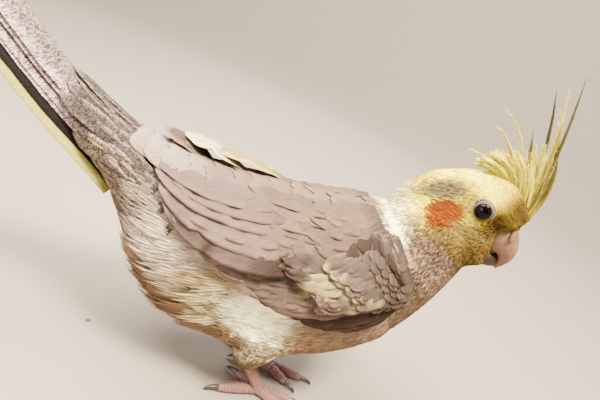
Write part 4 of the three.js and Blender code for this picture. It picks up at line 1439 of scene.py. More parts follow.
@dataclass
class Tail:
    """The tail: six pairs of long feathers laid like a low roof, and its coverts above and below."""

    anatomy: Anatomy
    rise: float = 37.5
    ridge: float = 0.95
    crown: float = 4
    droop: float = 0.0002
    start: float = -12
    # For each pair from the middle out: millimetres aside at the root, degrees aside, half width, length.
    roots: tuple[float, ...] = (1.4, 1.3, 2.3, 3.0, 4.4, 7.7)
    fans: tuple[float, ...] = (0.2, 0.5, 0.9, 0.6, 0.4, 0.6)
    widths: tuple[float, ...] = (6.0, 5.6, 5.2, 4.8, 4.8, 2.9)
    lengths: tuple[float, ...] = (150, 144, 134, 121, 108, 95)
    spread: float = 0.0009  # how the far part opens, as a bird's tail does
    layer: float = 0.95
    coverts: int = 7

    def at(self, along: np.ndarray, across: np.ndarray, height: np.ndarray) -> np.ndarray:
        """Points of the tail by millimetres along it, across it and above it."""
        rise = math.radians(self.rise)
        h = height - self.ridge * (np.hypot(across, self.crown) - self.crown) - self.droop * along ** 2
        x = TRUNK[0, 0] - math.cos(rise) * along + math.sin(rise) * h
        z = TRUNK[0, 1] + math.sin(rise) * along + math.cos(rise) * h
        return np.stack(np.broadcast_arrays(x, across, z), -1)

    def feather(self, sheaf: Sheaf, root: float, fan: float, start: float, length: float, level: float,
                width: float, colours: tuple[str, str], mottle: float, cell: int) -> None:
        """Adds one feather of the tail, its outer web in a colour of its own where it hardly mottles.

        Args:
            sheaf: What it is added to.
            root: How far to the left it lies at the tail's root, to the right where negative.
            fan: Degrees by which it turns the same way.
            start: How far along the tail it begins.
            length: How far along the tail it ends.
            level: How high in the pile of feathers it lies.
            width: Its half width.
            colours: The colours of its vane and of its edge or outer web.
            mottle: How strongly it is mottled.
            cell: Its number, for its patch of the bake map and its draws.
        """
        two_toned = mottle < 0.2
        base, edge = (linear(c) for c in colours)
        slope = math.tan(math.radians(fan))

        def at(u: np.ndarray, across: np.ndarray, height: np.ndarray) -> np.ndarray:
            """Points for shares along it, millimetres across it and above it."""
            along = start + u * (length - start)
            opened = math.copysign(self.spread, root) * np.maximum(along - 35, 0) ** 2 * abs(root) / 7
            return self.at(along, root + slope * along + opened + across, level + height)

        def paint(u: np.ndarray, v: np.ndarray) -> np.ndarray:
            """Colours for shares along it and across it."""
            out = v * math.copysign(1, root)
            rim = smooth(0.0, 0.12, out) if two_toned else smooth(0.6, 1.0, np.abs(v)) * smooth(0.02, 0.2, u)
            return mixed(base, edge, rim)

        place = np.array((0.06 + 0.12 * (cell % 8), 0.06 + 0.12 * (cell // 8)))
        quill = Quill(stations=34, clefts=3, rumple=0.12)
        quill.grow(sheaf, at, rounded(width, 0.55, 0.6), length - start, paint, (place, 0.1), 900 + cell,
                   mottle)

    def covert(self, sheaf: Sheaf, share: float, turn: float, along: float, rng: np.random.Generator) -> None:
        """Adds one covert, from the rump or the vent on to the root of the tail.

        Args:
            sheaf: What it is added to.
            share: The trunk's share at its root.
            turn: The degrees round the trunk there.
            along: How far along the tail it ends.
            rng: The draws that vary it.
        """
        places = np.array([share]), np.array([turn])
        root = Anatomy.trunk(*places, 0.2)[0]
        up = unit(Anatomy.trunk(*places, 1.2)[0] - root)
        sine, cosine = math.sin(math.radians(turn)), math.cos(math.radians(turn))
        along += rng.uniform(-2.5, 2.5)
        tip = self.at(np.array(along), np.array(-sine * (8.5 + 0.06 * along)),
                      np.array(cosine * (2.6 + 3.0 * smooth(24, -6, along) if cosine > 0 else 5.2)))
        bend = (root + tip) / 2 + up * rng.uniform(0.8, 2.2)
        upper = cosine > 0.2
        base = linear("#352c28" if upper else "#473b30") * (1 + rng.uniform(-0.25, 0.25))
        edge = linear("#68594f" if upper else "#7c6c5a")

        def paint(u: np.ndarray, v: np.ndarray) -> np.ndarray:
            """Colours for shares along it and across it."""
            rim = np.maximum(smooth(0.5, 1.0, np.abs(v)), smooth(0.8, 1.0, u))
            return mixed(base, edge, rim)

        place = trunk_map(np.array(share), np.array(turn % 360))
        quill = Quill(stations=14, columns=(-1, -0.6, -0.1, 0.1, 0.6, 1), thick=0.2, clefts=2, ragged=0.05)
        length = float(np.linalg.norm(tip - root))
        quill.grow(sheaf, bent(root, bend, tip, up), rounded(3.3, 0.7), length, paint, (place, 0.012),
                   int(rng.integers(1 << 30)), 0.85)

    def build(self, vane: bpy.types.Material) -> None:
        """Builds the long feathers and the coverts."""
        long, cell = Sheaf(self.anatomy), 0
        # Painted shade: the fifth pair is painted near black, and the outermost pair's inner web dark brown,
        # for the shaded gap beside the outer feathers.
        plain, dark = ("#665853", "#a6918b"), ("#080403", "#0c0604")
        for k, length in enumerate(self.lengths):
            for side in (-1, 1):
                level = 2 - self.layer * (2 * k + (1 if side > 0 else 0) if k < 2 else k + 2)
                outer = k == len(self.lengths) - 1
                colours = ("#231910", "#91893f") if outer else dark if k == 4 else plain
                self.feather(long, side * self.roots[k], side * self.fans[k], self.start, length, level,
                             self.widths[k], colours, 0.1 if outer else 0.3 if k == 4 else 0.85, cell)
                cell += 1
        tail = long.write("tail_vanes", vane)
        coverts, rng = Sheaf(self.anatomy), np.random.default_rng(83)
        for ring in range(self.coverts):
            count = 16 - ring // 2
            for j in range(count):
                turn = 360 * (j + 0.5 * (ring % 2)) / count + rng.uniform(-5, 5)
                ends = -9 + (3.2 + 2.6 * max(math.cos(math.radians(turn)), 0)) * ring
                self.covert(coverts, 0.24 - 0.036 * ring + rng.uniform(-0.008, 0.008), turn, ends, rng)
        small = coverts.write("tail_coverts", vane)
        for piece in (tail, small):
            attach(piece, ROOT)
        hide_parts("tail")


@dataclass(frozen=True)
class Plume:
    """One feather of the crest: its root, its bend and its tip in the head's own frame, and its looks."""

    root: tuple[float, float]
    bend: tuple[float, float]
    tip: tuple[float, float]
    width: float
    dark: float = 0.0
    aside: float = 0.0
    twist: float = 30.0
    barbs: int = 14


@dataclass
class Crest:
    """The crest: long olive-shafted feathers in front, and shorter yellow ones lying back."""

    anatomy: Anatomy
    front: float = 14.6
    rear: float = -1.0
    fill: int = 160

    plumes = (
        Plume((14.6, 2), (13.8, 22), (5.9, 51), 0.62, 0.95, 0.3, 62, 16),
        Plume((11.5, 6), (9.4, 25), (0.1, 43.8), 0.6, 1.0, -0.8, 66, 14),
        Plume((14, 4), (11.3, 26), (3.7, 45.5), 0.6, 0.12, 0.9, 60, 14),
        Plume((9.2, 7), (7.2, 17), (0.8, 29.7), 0.6, 0.9, -0.6, 58, 18),
        Plume((9, 8), (7.4, 18), (4.4, 26.2), 1.9, 0.1, 0.6, 20, 22),
        Plume((11, 7), (9.8, 18), (6.5, 27.3), 1.9, 0.15, -1.0, 25, 22),
        Plume((6, 11), (2.2, 27), (-10.3, 31.9), 0.5, 0.0, 0.4, 35, 16),
        Plume((4, 11), (-0.6, 22.5), (-9.3, 25.6), 1.3, 0.05, -1.2, 15, 30),
        Plume((1, 10.5), (-5, 15.8), (-13.9, 15), 1.0, 0.0, -2.0, 20, 20),
        Plume((1.5, 10.8), (-3, 14.8), (-8.3, 15.4), 1.2, 0.1, 1.4, 20, 22),
        Plume((15.4, 1.5), (17, 14), (12.3, 25.2), 1.1, 0.85, -0.3, 50, 18),
        Plume((14.5, 3), (14.4, 18), (8.8, 33), 0.9, 0.85, 1.1, 55, 16),
        Plume((12.5, 5), (12.2, 20), (7, 36), 0.8, 0.6, -1.4, 50, 16),
    )

    def build(self, vane: bpy.types.Material) -> None:
        """Builds every feather of the crest: the plumes that stand out, then the dense ones between."""
        rng = np.random.default_rng(7)
        sheaf = Sheaf(self.anatomy)
        for i, plume in enumerate(self.plumes):
            self.feather(sheaf, plume, i, rng)
        for i in range(self.fill):
            back = (i + rng.uniform(0, 1)) / self.fill
            x = self.front + (self.rear - self.front) * back
            crown = np.interp(x, HEAD[:, 0], HEAD[:, 1])
            length = (19 - 10 * back) * rng.uniform(0.55, 1.1)
            lean = math.radians(12 + 62 * back + rng.uniform(-9, 9))
            root = (x, crown - 2.2)
            bend = (x - math.sin(lean * 0.4) * length / 2, root[1] + math.cos(lean * 0.4) * length / 2)
            tip = (x - math.sin(lean) * length, root[1] + math.cos(lean) * length)
            dark = rng.uniform(0, 0.3) * (1 - back) + 0.65 * float(smooth(0.14, 0.04, np.array(back)))
            plume = Plume(root, bend, tip, rng.uniform(0.6, 1.0), dark, rng.uniform(-3.2, 3.2),
                          rng.uniform(-60, 60), 14)
            self.feather(sheaf, plume, i + len(self.plumes), rng)
        made = sheaf.write("crest", vane)
        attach(made, ROOT)

    def feather(self, sheaf: Sheaf, plume: Plume, i: int, rng: np.random.Generator) -> None:
        """Adds one feather of the crest, its webs frayed into single barbs."""
        root, knee, tip = (np.array((p[0], plume.aside * (1 + 0.25 * k), p[1]))
                           for k, p in enumerate((plume.root, plume.bend, plume.tip)))
        length = np.linalg.norm(knee - root) + np.linalg.norm(tip - knee)
        twist = math.radians(plume.twist)
        c, s = math.cos(twist), math.sin(twist)

        def at(u: np.ndarray, across: np.ndarray, height: np.ndarray) -> np.ndarray:
            """Points for shares along it, millimetres across it and above it."""
            w = u[..., None]
            spine = (1 - w) ** 2 * root + 2 * w * (1 - w) * knee + w ** 2 * tip
            along = unit(2 * (1 - w) * (knee - root) + 2 * w * (tip - knee))
            flat = np.array((0.0, 1.0, 0.0)) + 0 * along
            up = unit(np.cross(along, flat))
            flat, up = flat * c + up * s, up * c - flat * s
            return Anatomy.turned(spine + flat * across[..., None] + up * np.asarray(height)[..., None])

        base = mixed(linear("#b39f0f"), linear("#332a17"), np.array(plume.dark))
        edge = mixed(linear("#cbbe2a"), linear("#4b422a"), np.array(plume.dark))

        def paint(u: np.ndarray, v: np.ndarray) -> np.ndarray:
            """Colours for shares along it and across it, yellow at its root."""
            young = mixed(linear("#c6b313"), base, smooth(0.1, 0.45, u))
            return mixed(young, edge, smooth(0.3, 1.0, np.abs(v)))

        half = rounded(plume.width, 1.2, 0.35)
        place = head_map(np.array(0.5 + 0.022 * (plume.root[0])), np.array(4.0 * (i % 9)))
        quill = Quill(stations=14, columns=(-1, -0.5, -0.1, 0.1, 0.5, 1), thick=0.12, shaft=0.14, clefts=3)
        quill.grow(sheaf, at, half, length, paint, (place, 0.006), int(rng.integers(1 << 30)))
        self.fray(sheaf, plume, at, half, length, (base, edge), place, rng)

    @staticmethod
    def fray(sheaf: Sheaf, plume: Plume, at: Callable, half: Callable, length: float, colours: tuple,
             place: np.ndarray, rng: np.random.Generator) -> None:
        """Adds the loose barbs that stand off a plume's webs, each a thin closed needle."""
        count = 2 * plume.barbs
        u = np.sort(rng.uniform(0.12, 0.9, count))
        side = np.where(np.arange(count) % 2, 1.0, -1.0)
        out = np.array([half(np.array(x)) for x in u])
        reach = rng.uniform(2.2, 3.6, count) / length
        start = at(u, side * out * 0.3, np.zeros(count))
        middle = at(np.minimum(u + reach * 0.5, 1), side * out * 0.95, rng.uniform(-0.1, 0.25, count))
        tip = at(np.minimum(u + reach, 1.02), side * (out + rng.uniform(0.2, 0.8, count)),
                 rng.uniform(-0.3, 0.5, count))
        thick = 0.11
        turn = np.radians((90, 210, 330))  # the three corners of a needle
        ring = np.stack((0 * turn, np.cos(turn), np.sin(turn)), 1) * thick
        body = np.stack((start[:, None] + ring, middle[:, None] + ring * 0.9), 1)
        points = np.concatenate((body.reshape(count, 6, 3), tip[:, None]), 1)
        corners, own = points.shape[1], Tuft.faces(3)
        faces = np.concatenate([outward(p - p.mean(0), own) + corners * k for k, p in enumerate(points)])
        sheaf.put(points.reshape(-1, 3), faces, colours[1] * 0.95,
                  np.broadcast_to(place, (count * corners, 2)))


# Eyes, bill, feet

@dataclass
class Eye:
    """An eye: the dark ball with its iris, and the ring of bare lids round it."""

    anatomy: Anatomy
    side: Side
    ball: float = 3.8
    pupil: float = 1.55
    iris: float = 2.75
    inner: float = 2.6
    outer: float = 3.6
    wider: float = 0.7  # how much further the bare skin reaches toward the bill
    toward: float = -22.0  # the degrees at which it reaches furthest

    def placed(self, points: np.ndarray) -> np.ndarray:
        """Points with the eye's axis along Z, set in the head."""
        y = -self.side.value
        turned = np.stack((points[..., 0], y * (points[..., 2] + EYE_SIDE), points[..., 1]), -1)
        return Anatomy.turned(turned)

    def build(self, wet: bpy.types.Material, bare: bpy.types.Material) -> None:
        """Builds the ball and the lids."""
        name = self.side.name.lower()
        t = np.linspace(0, 2 * math.pi, 40, endpoint=False)[None, :]
        p = np.linspace(0.02, math.pi - 0.02, 26)[:, None]
        rings = np.stack((np.sin(p) * np.cos(t), np.sin(p) * np.sin(t), np.cos(p) + 0 * t), -1)
        rings *= self.ball - 0.05
        points, faces = loft(self.placed(rings))
        radius = np.linalg.norm(rings[..., :2], axis=-1).ravel()
        radius = np.concatenate((radius, (0.0, 0.0)))
        ring = smooth(self.pupil, self.pupil + 0.2, radius)
        ring *= 1 - smooth(self.iris - 0.25, self.iris, radius)
        paint = mixed(linear("#020101"), linear("#110705"), ring)
        sheaf = Sheaf(self.anatomy)
        sheaf.put(points, faces, paint)
        made = sheaf.write(f"eyeball_{name}", wet, bake=False)
        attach(made, ROOT)
        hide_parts(f"eye_{name}")
        lids = Sheaf(self.anatomy)
        around = 72
        a = np.linspace(0, 2 * math.pi, around, endpoint=False)[:, None]
        s = np.linspace(0, 1, 12)[None, :]
        reach = self.outer + self.wider * (0.5 + 0.5 * np.cos(a - math.radians(self.toward))) ** 2
        radius = self.inner + (reach - self.inner) * s
        fold = 0.12 * np.sin(7 * math.pi * s) * (1 - s)
        pucker = 0.05 * np.sin(24 * a) * np.sin(math.pi * s)
        over = np.sqrt(np.maximum(self.ball ** 2 - np.minimum(radius, 3.7) ** 2, 0.4)) + 0.25
        height = over * (1 - s ** 2) + (1.1 + 0.9 * (1 - s)) * s ** 2 + fold + pucker
        top = np.stack((radius * np.cos(a), radius * np.sin(a), height + 0 * a), -1)
        under = top - np.array((0, 0, 0.6))
        ring = np.concatenate((top, under[:, ::-1]), 1)
        count = ring.shape[1]
        points = self.placed(ring).reshape(-1, 3)
        i, j = (g.ravel() for g in np.meshgrid(np.arange(around), np.arange(count), indexing="ij"))
        after, over = (i + 1) % around, (j + 1) % count
        near, far = i * count + j, after * count + over
        faces = np.concatenate((np.stack((near, after * count + j, far), 1),
                                np.stack((near, far, i * count + over), 1)))
        tone = smooth(0, 1, np.concatenate((s, s[:, ::-1]), 1) + 0 * a).reshape(-1)
        paint = mixed(linear("#241e1b"), linear("#574e49"), np.sqrt(tone))
        lids.put(points, outward(points - points.mean(0), faces), paint)
        made = lids.write(f"lids_{name}", bare, bake=False)
        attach(made, ROOT)


@dataclass
class Bill:
    """The hooked bill, upper and lower, and the soft cere that its nostrils open in."""

    anatomy: Anatomy

    def upper(self) -> np.ndarray:
        """The rings of the upper beak."""
        rows = between(UPPER_BEAK, np.linspace(0, 1, 40))
        ridge = np.stack((rows[:, 0], 0 * rows[:, 0], rows[:, 1]), -1)
        edge = np.stack((rows[:, 2], 0 * rows[:, 0], rows[:, 3]), -1)
        out = unit(ridge - edge)
        high = np.linalg.norm(ridge - edge, axis=1) / 2
        t = np.linspace(0, 2 * math.pi, 36, endpoint=False)
        power = np.where(np.cos(t) < 0, 0.75, 1.0)
        y = np.sign(np.sin(t)) * np.abs(np.sin(t)) ** power
        rise = np.cos(t)[None, :, None] * high[:, None, None]
        rings = ((ridge + edge) / 2)[:, None] + out[:, None] * rise
        rings[..., 1] += y[None] * np.maximum(rows[:, 4:5], 0.15)
        return Anatomy.turned(rings)

    def lower(self) -> np.ndarray:
        """The rings of the lower beak."""
        rows = between(LOWER_BEAK, np.linspace(0, 1, 18))
        t = np.linspace(0, 2 * math.pi, 28, endpoint=False)
        x, top, bottom, wide = (rows[:, k:k + 1] for k in range(4))
        z = (top + bottom) / 2 + np.cos(t) * (top - bottom) / 2
        return Anatomy.turned(np.stack((x + 0 * t, np.sin(t) * wide, z), -1))

    def cere(self) -> tuple[np.ndarray, np.ndarray]:
        """The rings of the cere and how deep in a nostril each point lies."""
        t = np.radians(np.linspace(-88, 88, 72))[:, None]
        a = np.linspace(0, 2 * math.pi, 28, endpoint=False)[None, :]
        thick = 1.35 * (0.7 + 0.3 * np.cos(t)) * np.sqrt(np.maximum(1 - (t / math.radians(90)) ** 6, 0.02))
        reach = thick * np.cos(a) * 0.8
        rings = np.stack((13.9 + thick * np.sin(a), np.sin(t) * (5.8 + reach),
                          -6.8 + np.cos(t) * 5 + np.cos(t) * reach), -1)
        hole = np.zeros(rings.shape[:2])
        for side in (-1, 1):
            nostril = np.array((15.3, side * 2.5, -1.4))
            hole = np.maximum(hole, np.exp(-(np.linalg.norm(rings - nostril, axis=-1) / 0.85) ** 2))
        rings[..., 0] -= 1.0 * hole
        rings[..., 2] -= 0.9 * hole
        return Anatomy.turned(rings), hole

    def build(self, horn: bpy.types.Material, bare: bpy.types.Material) -> None:
        """Builds the two beaks and the cere."""
        for name, rings, replaced in (("beak_upper_horn", self.upper(), "beak_upper"),
                                      ("beak_lower_horn", self.lower(), "beak_lower")):
            sheaf = Sheaf(self.anatomy)
            points, faces = loft(rings)
            along = np.concatenate((np.repeat(np.linspace(0, 1, len(rings)), rings.shape[1]), (0, 1)))
            paint = mixed(linear("#6e523e"), linear("#65422a"), smooth(0.3, 1, along) * 0.8)
            if replaced == "beak_lower":
                # The lower beak is dark brown, partly its own colour and partly painted shade; its top, under
                # the upper beak, is painted near black as painted shade.
                paint = mixed(linear("#2c1c13"), linear("#0c0604"),
                              smooth(-14.9, -14.1, Anatomy.local(points)[:, 2]))
            sheaf.put(points, faces, paint)
            made = sheaf.write(name, horn, bake=False)
            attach(made, ROOT)
            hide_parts(replaced)
        rings, hole = self.cere()
        points, faces = loft(rings)
        hole = np.concatenate((hole.ravel(), (0, 0)))
        # Painted shade: the nostrils' openings are painted near black.
        paint = mixed(linear("#664934"), linear("#0c0504"), smooth(0.35, 0.8, hole))
        sheaf = Sheaf(self.anatomy)
        sheaf.put(points, faces, paint)
        made = sheaf.write("cere_skin", bare, bake=False)
        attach(made, ROOT)
        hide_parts("cere")


@dataclass
class Leg:
    """A leg: thigh, shank, four toes in rows of scutes, and their claws."""

    anatomy: Anatomy
    side: Side
    toe_lengths: tuple[float, ...] = (18, 13.5, 16.5, 10)
    toe_radius: float = 2.1
    claw_length: float = 5.5

    SHANK_RADII = (2.4, 2.0, 2.5)
    TOE_RADII = (2.2, 2.05, 1.9, 2.0, 1.65, 1.4)

    @property
    def shank(self) -> np.ndarray:
        """The middle line of the shank."""
        return np.array((self.ankle, (self.ankle + self.ball) / 2, self.ball))

    @property
    def ankle(self) -> np.ndarray:
        """Where the thigh's feathers end and the scaled shank begins."""
        return np.array((-7, -12.5, 17) if self.side is Side.RIGHT else (-6, 11, 17), float)

    @property
    def ball(self) -> np.ndarray:
        """Where the toes meet."""
        return np.array((3.8, -10, 2.6) if self.side is Side.RIGHT else (5.5, 6.5, 2.6), float)

    @property
    def toes(self) -> tuple[float, ...]:
        """Each toe's direction, in degrees."""
        return (-29, -3, 198, 150) if self.side is Side.RIGHT else (-10, -38, 152, 190)

    @property
    def knee(self) -> np.ndarray:
        """Where the thigh comes out of the flank."""
        return np.array((-5, self.ankle[1] * 1.1, 38))

    @staticmethod
    def limb(path: np.ndarray, radii: tuple[float, ...], rings: int, sides: int,
             floor: float | None = None) -> np.ndarray:
        """Rings of a round tapering tube through points, its underside kept at a floor level."""
        u = np.linspace(0, 1, rings)
        line = between(np.asarray(path, float), u)
        along = unit(np.gradient(line, axis=0))
        side = unit(np.cross((0, 0, 1), along))
        up = np.cross(along, side)
        radius = np.interp(u, np.linspace(0, 1, len(radii)), radii)[:, None, None]
        t = (2 * math.pi * (np.arange(sides) + 0.5) / sides)[None, :, None]
        made = line[:, None] + radius * (np.sin(t) * side[:, None] + np.cos(t) * up[:, None])
        if floor is not None:
            made[..., 2] = np.maximum(made[..., 2], floor)
        return made

    def thigh(self, grown: float, rings: int = 16, sides: int = 24) -> np.ndarray:
        """Rings of the thigh."""
        path = (self.knee, self.knee * 0.45 + self.ankle * 0.55, self.ankle - np.array((0, 0, 2)))
        return self.limb(np.array(path), tuple(r + grown for r in (15.5, 9.5, 4.4)), rings, sides)

    def toe_path(self, degrees: float, length: float) -> np.ndarray:
        """The middle line of a toe."""
        way = heading(degrees)
        return np.array([(*(self.ball[:2] + way * length * u), self.toe_radius * (1 - 0.16 * u))
                         for u in (0, 0.35, 0.7, 1)])

    def build(self, scaled: bpy.types.Material, keratin: bpy.types.Material) -> None:
        """Builds the foot's skin of shank and toes, and the claws."""
        name = self.side.name.lower()
        foot = Sheaf(self.anatomy)
        pink = linear("#79524b")
        points, faces = loft(self.limb(self.shank, self.SHANK_RADII, 30, 20, 0.0))
        foot.put(points, faces, pink * 0.9)
        for degrees, length in zip(self.toes, self.toe_lengths):
            rings = self.limb(self.toe_path(degrees, length), self.TOE_RADII, 36, 20, 0.0)
            points, faces = loft(rings)
            foot.put(points, faces, pink * 0.88)
        made = foot.write(f"foot_{name}_skin", scaled, bake=False)
        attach(made, ROOT)
        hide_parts(f"foot_{name}")
        claws = Sheaf(self.anatomy)
        for k, (degrees, length) in enumerate(zip(self.toes, self.toe_lengths)):
            way = heading(degrees)
            root = self.ball[:2] + way * (length - 0.4)
            path = [(*(root + way * (self.claw_length + 0.4) * u), z)
                    for u, z in ((0, 1.6), (0.4, 1.95), (0.8, 1.4), (1, 0.55))]
            points, faces = loft(self.limb(np.array(path), (1.15, 0.95, 0.6, 0.16), 18, 16, 0.0))
            along = np.clip(((points[:, :2] - root) @ way) / self.claw_length, 0, 1)
            claws.put(points, faces, mixed(linear("#493b33"), linear("#271e19"), along))
        made = claws.write(f"claws_{name}", keratin, bake=False)
        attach(made, ROOT)
        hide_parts(*(f"claw_{name}_{k + 1}" for k in range(4)))


@dataclass
class Scutes:
    """The horny plates that lie across the shanks and the toes, set out along their lines by nodes."""

    anatomy: Anatomy
    spacing: float = 1.1
    sweep: float = 205.0
    rise: float = 0.13
    lap: float = 0.62
    seed: int = 5
    colour: str = "#805a52"

    def nodes(self) -> bpy.types.GeometryNodeTree:
        """Builds the node tree: one arched plate, set square across each path at every step."""
        tree = bpy.data.node_groups.new("scutes", "GeometryNodeTree")
        tree.interface.new_socket("Geometry", in_out="OUTPUT", socket_type="NodeSocketGeometry")
        for name, kind in (("Geometry", "Geometry"), ("Spacing", "Float"), ("Sweep", "Float"),
                           ("Rise", "Float"), ("Lap", "Float"), ("Seed", "Int"), ("Colour", "Color"),
                           ("Material", "Material")):
            tree.interface.new_socket(name, in_out="INPUT", socket_type=f"NodeSocket{kind}")
        given = add(tree, "NodeGroupInput").outputs
        line = add(tree, "GeometryNodeMeshToCurve", {"Mesh": given["Geometry"]})
        steps = add(tree, "GeometryNodeResampleCurve",
                    {"Curve": line.outputs["Curve"], "Length": given["Spacing"]}, mode="LENGTH")
        first = add(tree, "ShaderNodeMath", {0: given["Sweep"], 1: -0.5, 2: math.pi / 2},
                    operation="MULTIPLY_ADD")
        arch = add(tree, "GeometryNodeCurveArc",
                   {"Resolution": 9, "Radius": 1.0, "Start Angle": first.outputs[0],
                    "Sweep Angle": given["Sweep"]})
        circle = add(tree, "GeometryNodeCurvePrimitiveCircle", {"Resolution": 6, "Radius": 1.0})
        size = add(tree, "ShaderNodeCombineXYZ", {"X": given["Rise"], "Y": given["Lap"], "Z": 1.0})
        section = add(tree, "GeometryNodeTransform",
                      {"Geometry": circle.outputs["Curve"], "Scale": size.outputs[0]})
        plate = add(tree, "GeometryNodeCurveToMesh",
                    {"Curve": arch.outputs["Curve"], "Profile Curve": section.outputs["Geometry"],
                     "Fill Caps": True})
        painted = add(tree, "GeometryNodeStoreNamedAttribute",
                      {"Geometry": plate.outputs["Mesh"], "Name": "Paint", "Value": given["Colour"]},
                      data_type="FLOAT_COLOR", domain="POINT")
        girth = add(tree, "GeometryNodeInputNamedAttribute", {"Name": "girth"}, data_type="FLOAT")
        crest = add(tree, "GeometryNodeInputNamedAttribute", {"Name": "crest"}, data_type="FLOAT_VECTOR")
        along = add(tree, "GeometryNodeInputTangent")
        turned = add(tree, "FunctionNodeAxesToRotation",
                     {"Primary Axis": along.outputs["Tangent"], "Secondary Axis": crest.outputs["Attribute"]},
                     primary_axis="Z", secondary_axis="Y")
        varied = add(tree, "FunctionNodeRandomValue", {2: 0.95, 3: 1.05, "Seed": given["Seed"]},
                     data_type="FLOAT")
        wide = add(tree, "ShaderNodeMath", {0: girth.outputs["Attribute"], 1: varied.outputs[1]},
                   operation="MULTIPLY")
        scale = add(tree, "ShaderNodeCombineXYZ",
                    {"X": wide.outputs[0], "Y": wide.outputs[0], "Z": given["Spacing"]})
        set_out = add(tree, "GeometryNodeInstanceOnPoints",
                      {"Points": steps.outputs["Curve"], "Instance": painted.outputs["Geometry"],
                       "Rotation": turned.outputs["Rotation"], "Scale": scale.outputs[0]})
        real = add(tree, "GeometryNodeRealizeInstances", {"Geometry": set_out.outputs["Instances"]})
        done = add(tree, "GeometryNodeSetMaterial",
                   {"Geometry": real.outputs["Geometry"], "Material": given["Material"]})
        add(tree, "NodeGroupOutput", {"Geometry": done.outputs["Geometry"]})
        return tree

    def paths(self, leg: Leg) -> bpy.types.Object:
        """The lines of one leg's shank and toes, with how thick it is there and which way is up."""
        spots, edges, girths, ups = [], [], [], []
        lines = [(leg.shank, Leg.SHANK_RADII, (1.0, 0.0, 0.35))]
        lines += [(leg.toe_path(degrees, length - 0.6), Leg.TOE_RADII, (0.0, 0.0, 1.0))
                  for degrees, length in zip(leg.toes, leg.toe_lengths)]
        for line, radii, up in lines:
            u = np.linspace(0.04, 0.99, 12)
            start = len(spots)
            spots += list((between(line, u) + self.anatomy.shift) * MM)
            edges += [(start + k, start + k + 1) for k in range(len(u) - 1)]
            girths += list(np.interp(u, np.linspace(0, 1, len(radii)), radii) * MM)
            ups += [up] * len(u)
        mesh = bpy.data.meshes.new("foot_lines")
        mesh.from_pydata([tuple(p) for p in spots], edges, [])
        mesh.attributes.new("girth", "FLOAT", "POINT").data.foreach_set("value", girths)
        mesh.attributes.new("crest", "FLOAT_VECTOR", "POINT").data.foreach_set("vector", np.ravel(ups))
        return linked("foot_lines", mesh)

    def build(self, leg: Leg, material: bpy.types.Material) -> None:
        """Sets the plates out on one leg and turns the result into a plain mesh."""
        draft = self.paths(leg)
        tree = self.nodes()
        values = {"Spacing": self.spacing * MM, "Sweep": math.radians(self.sweep), "Rise": self.rise,
                  "Lap": self.lap, "Seed": self.seed, "Colour": (*linear(self.colour), 1.0),
                  "Material": material}
        modifier = draft.modifiers.new("Scutes", "NODES")
        modifier.node_group = tree
        for socket in tree.interface.items_tree:
            if socket.in_out == "INPUT" and socket.name in values:
                modifier[socket.identifier] = values[socket.name]
        graph = bpy.context.evaluated_depsgraph_get()
        mesh = bpy.data.meshes.new_from_object(draft.evaluated_get(graph), preserve_all_data_layers=True,
                                               depsgraph=graph)
        lines = draft.data
        bpy.data.objects.remove(draft)
        bpy.data.meshes.remove(lines)
        shaped = bmesh.new()
        shaped.from_mesh(mesh)
        bmesh.ops.recalc_face_normals(shaped, faces=shaped.faces)
        shaped.to_mesh(mesh)
        shaped.free()
        mesh.shade_smooth()
        name = f"scutes_{leg.side.name.lower()}"
        mesh.name = name
        made = linked(name, mesh)
        LOG.info("%s: %d triangles", name, sum(len(f.vertices) - 2 for f in mesh.polygons))
        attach(made, ROOT)


# Studio

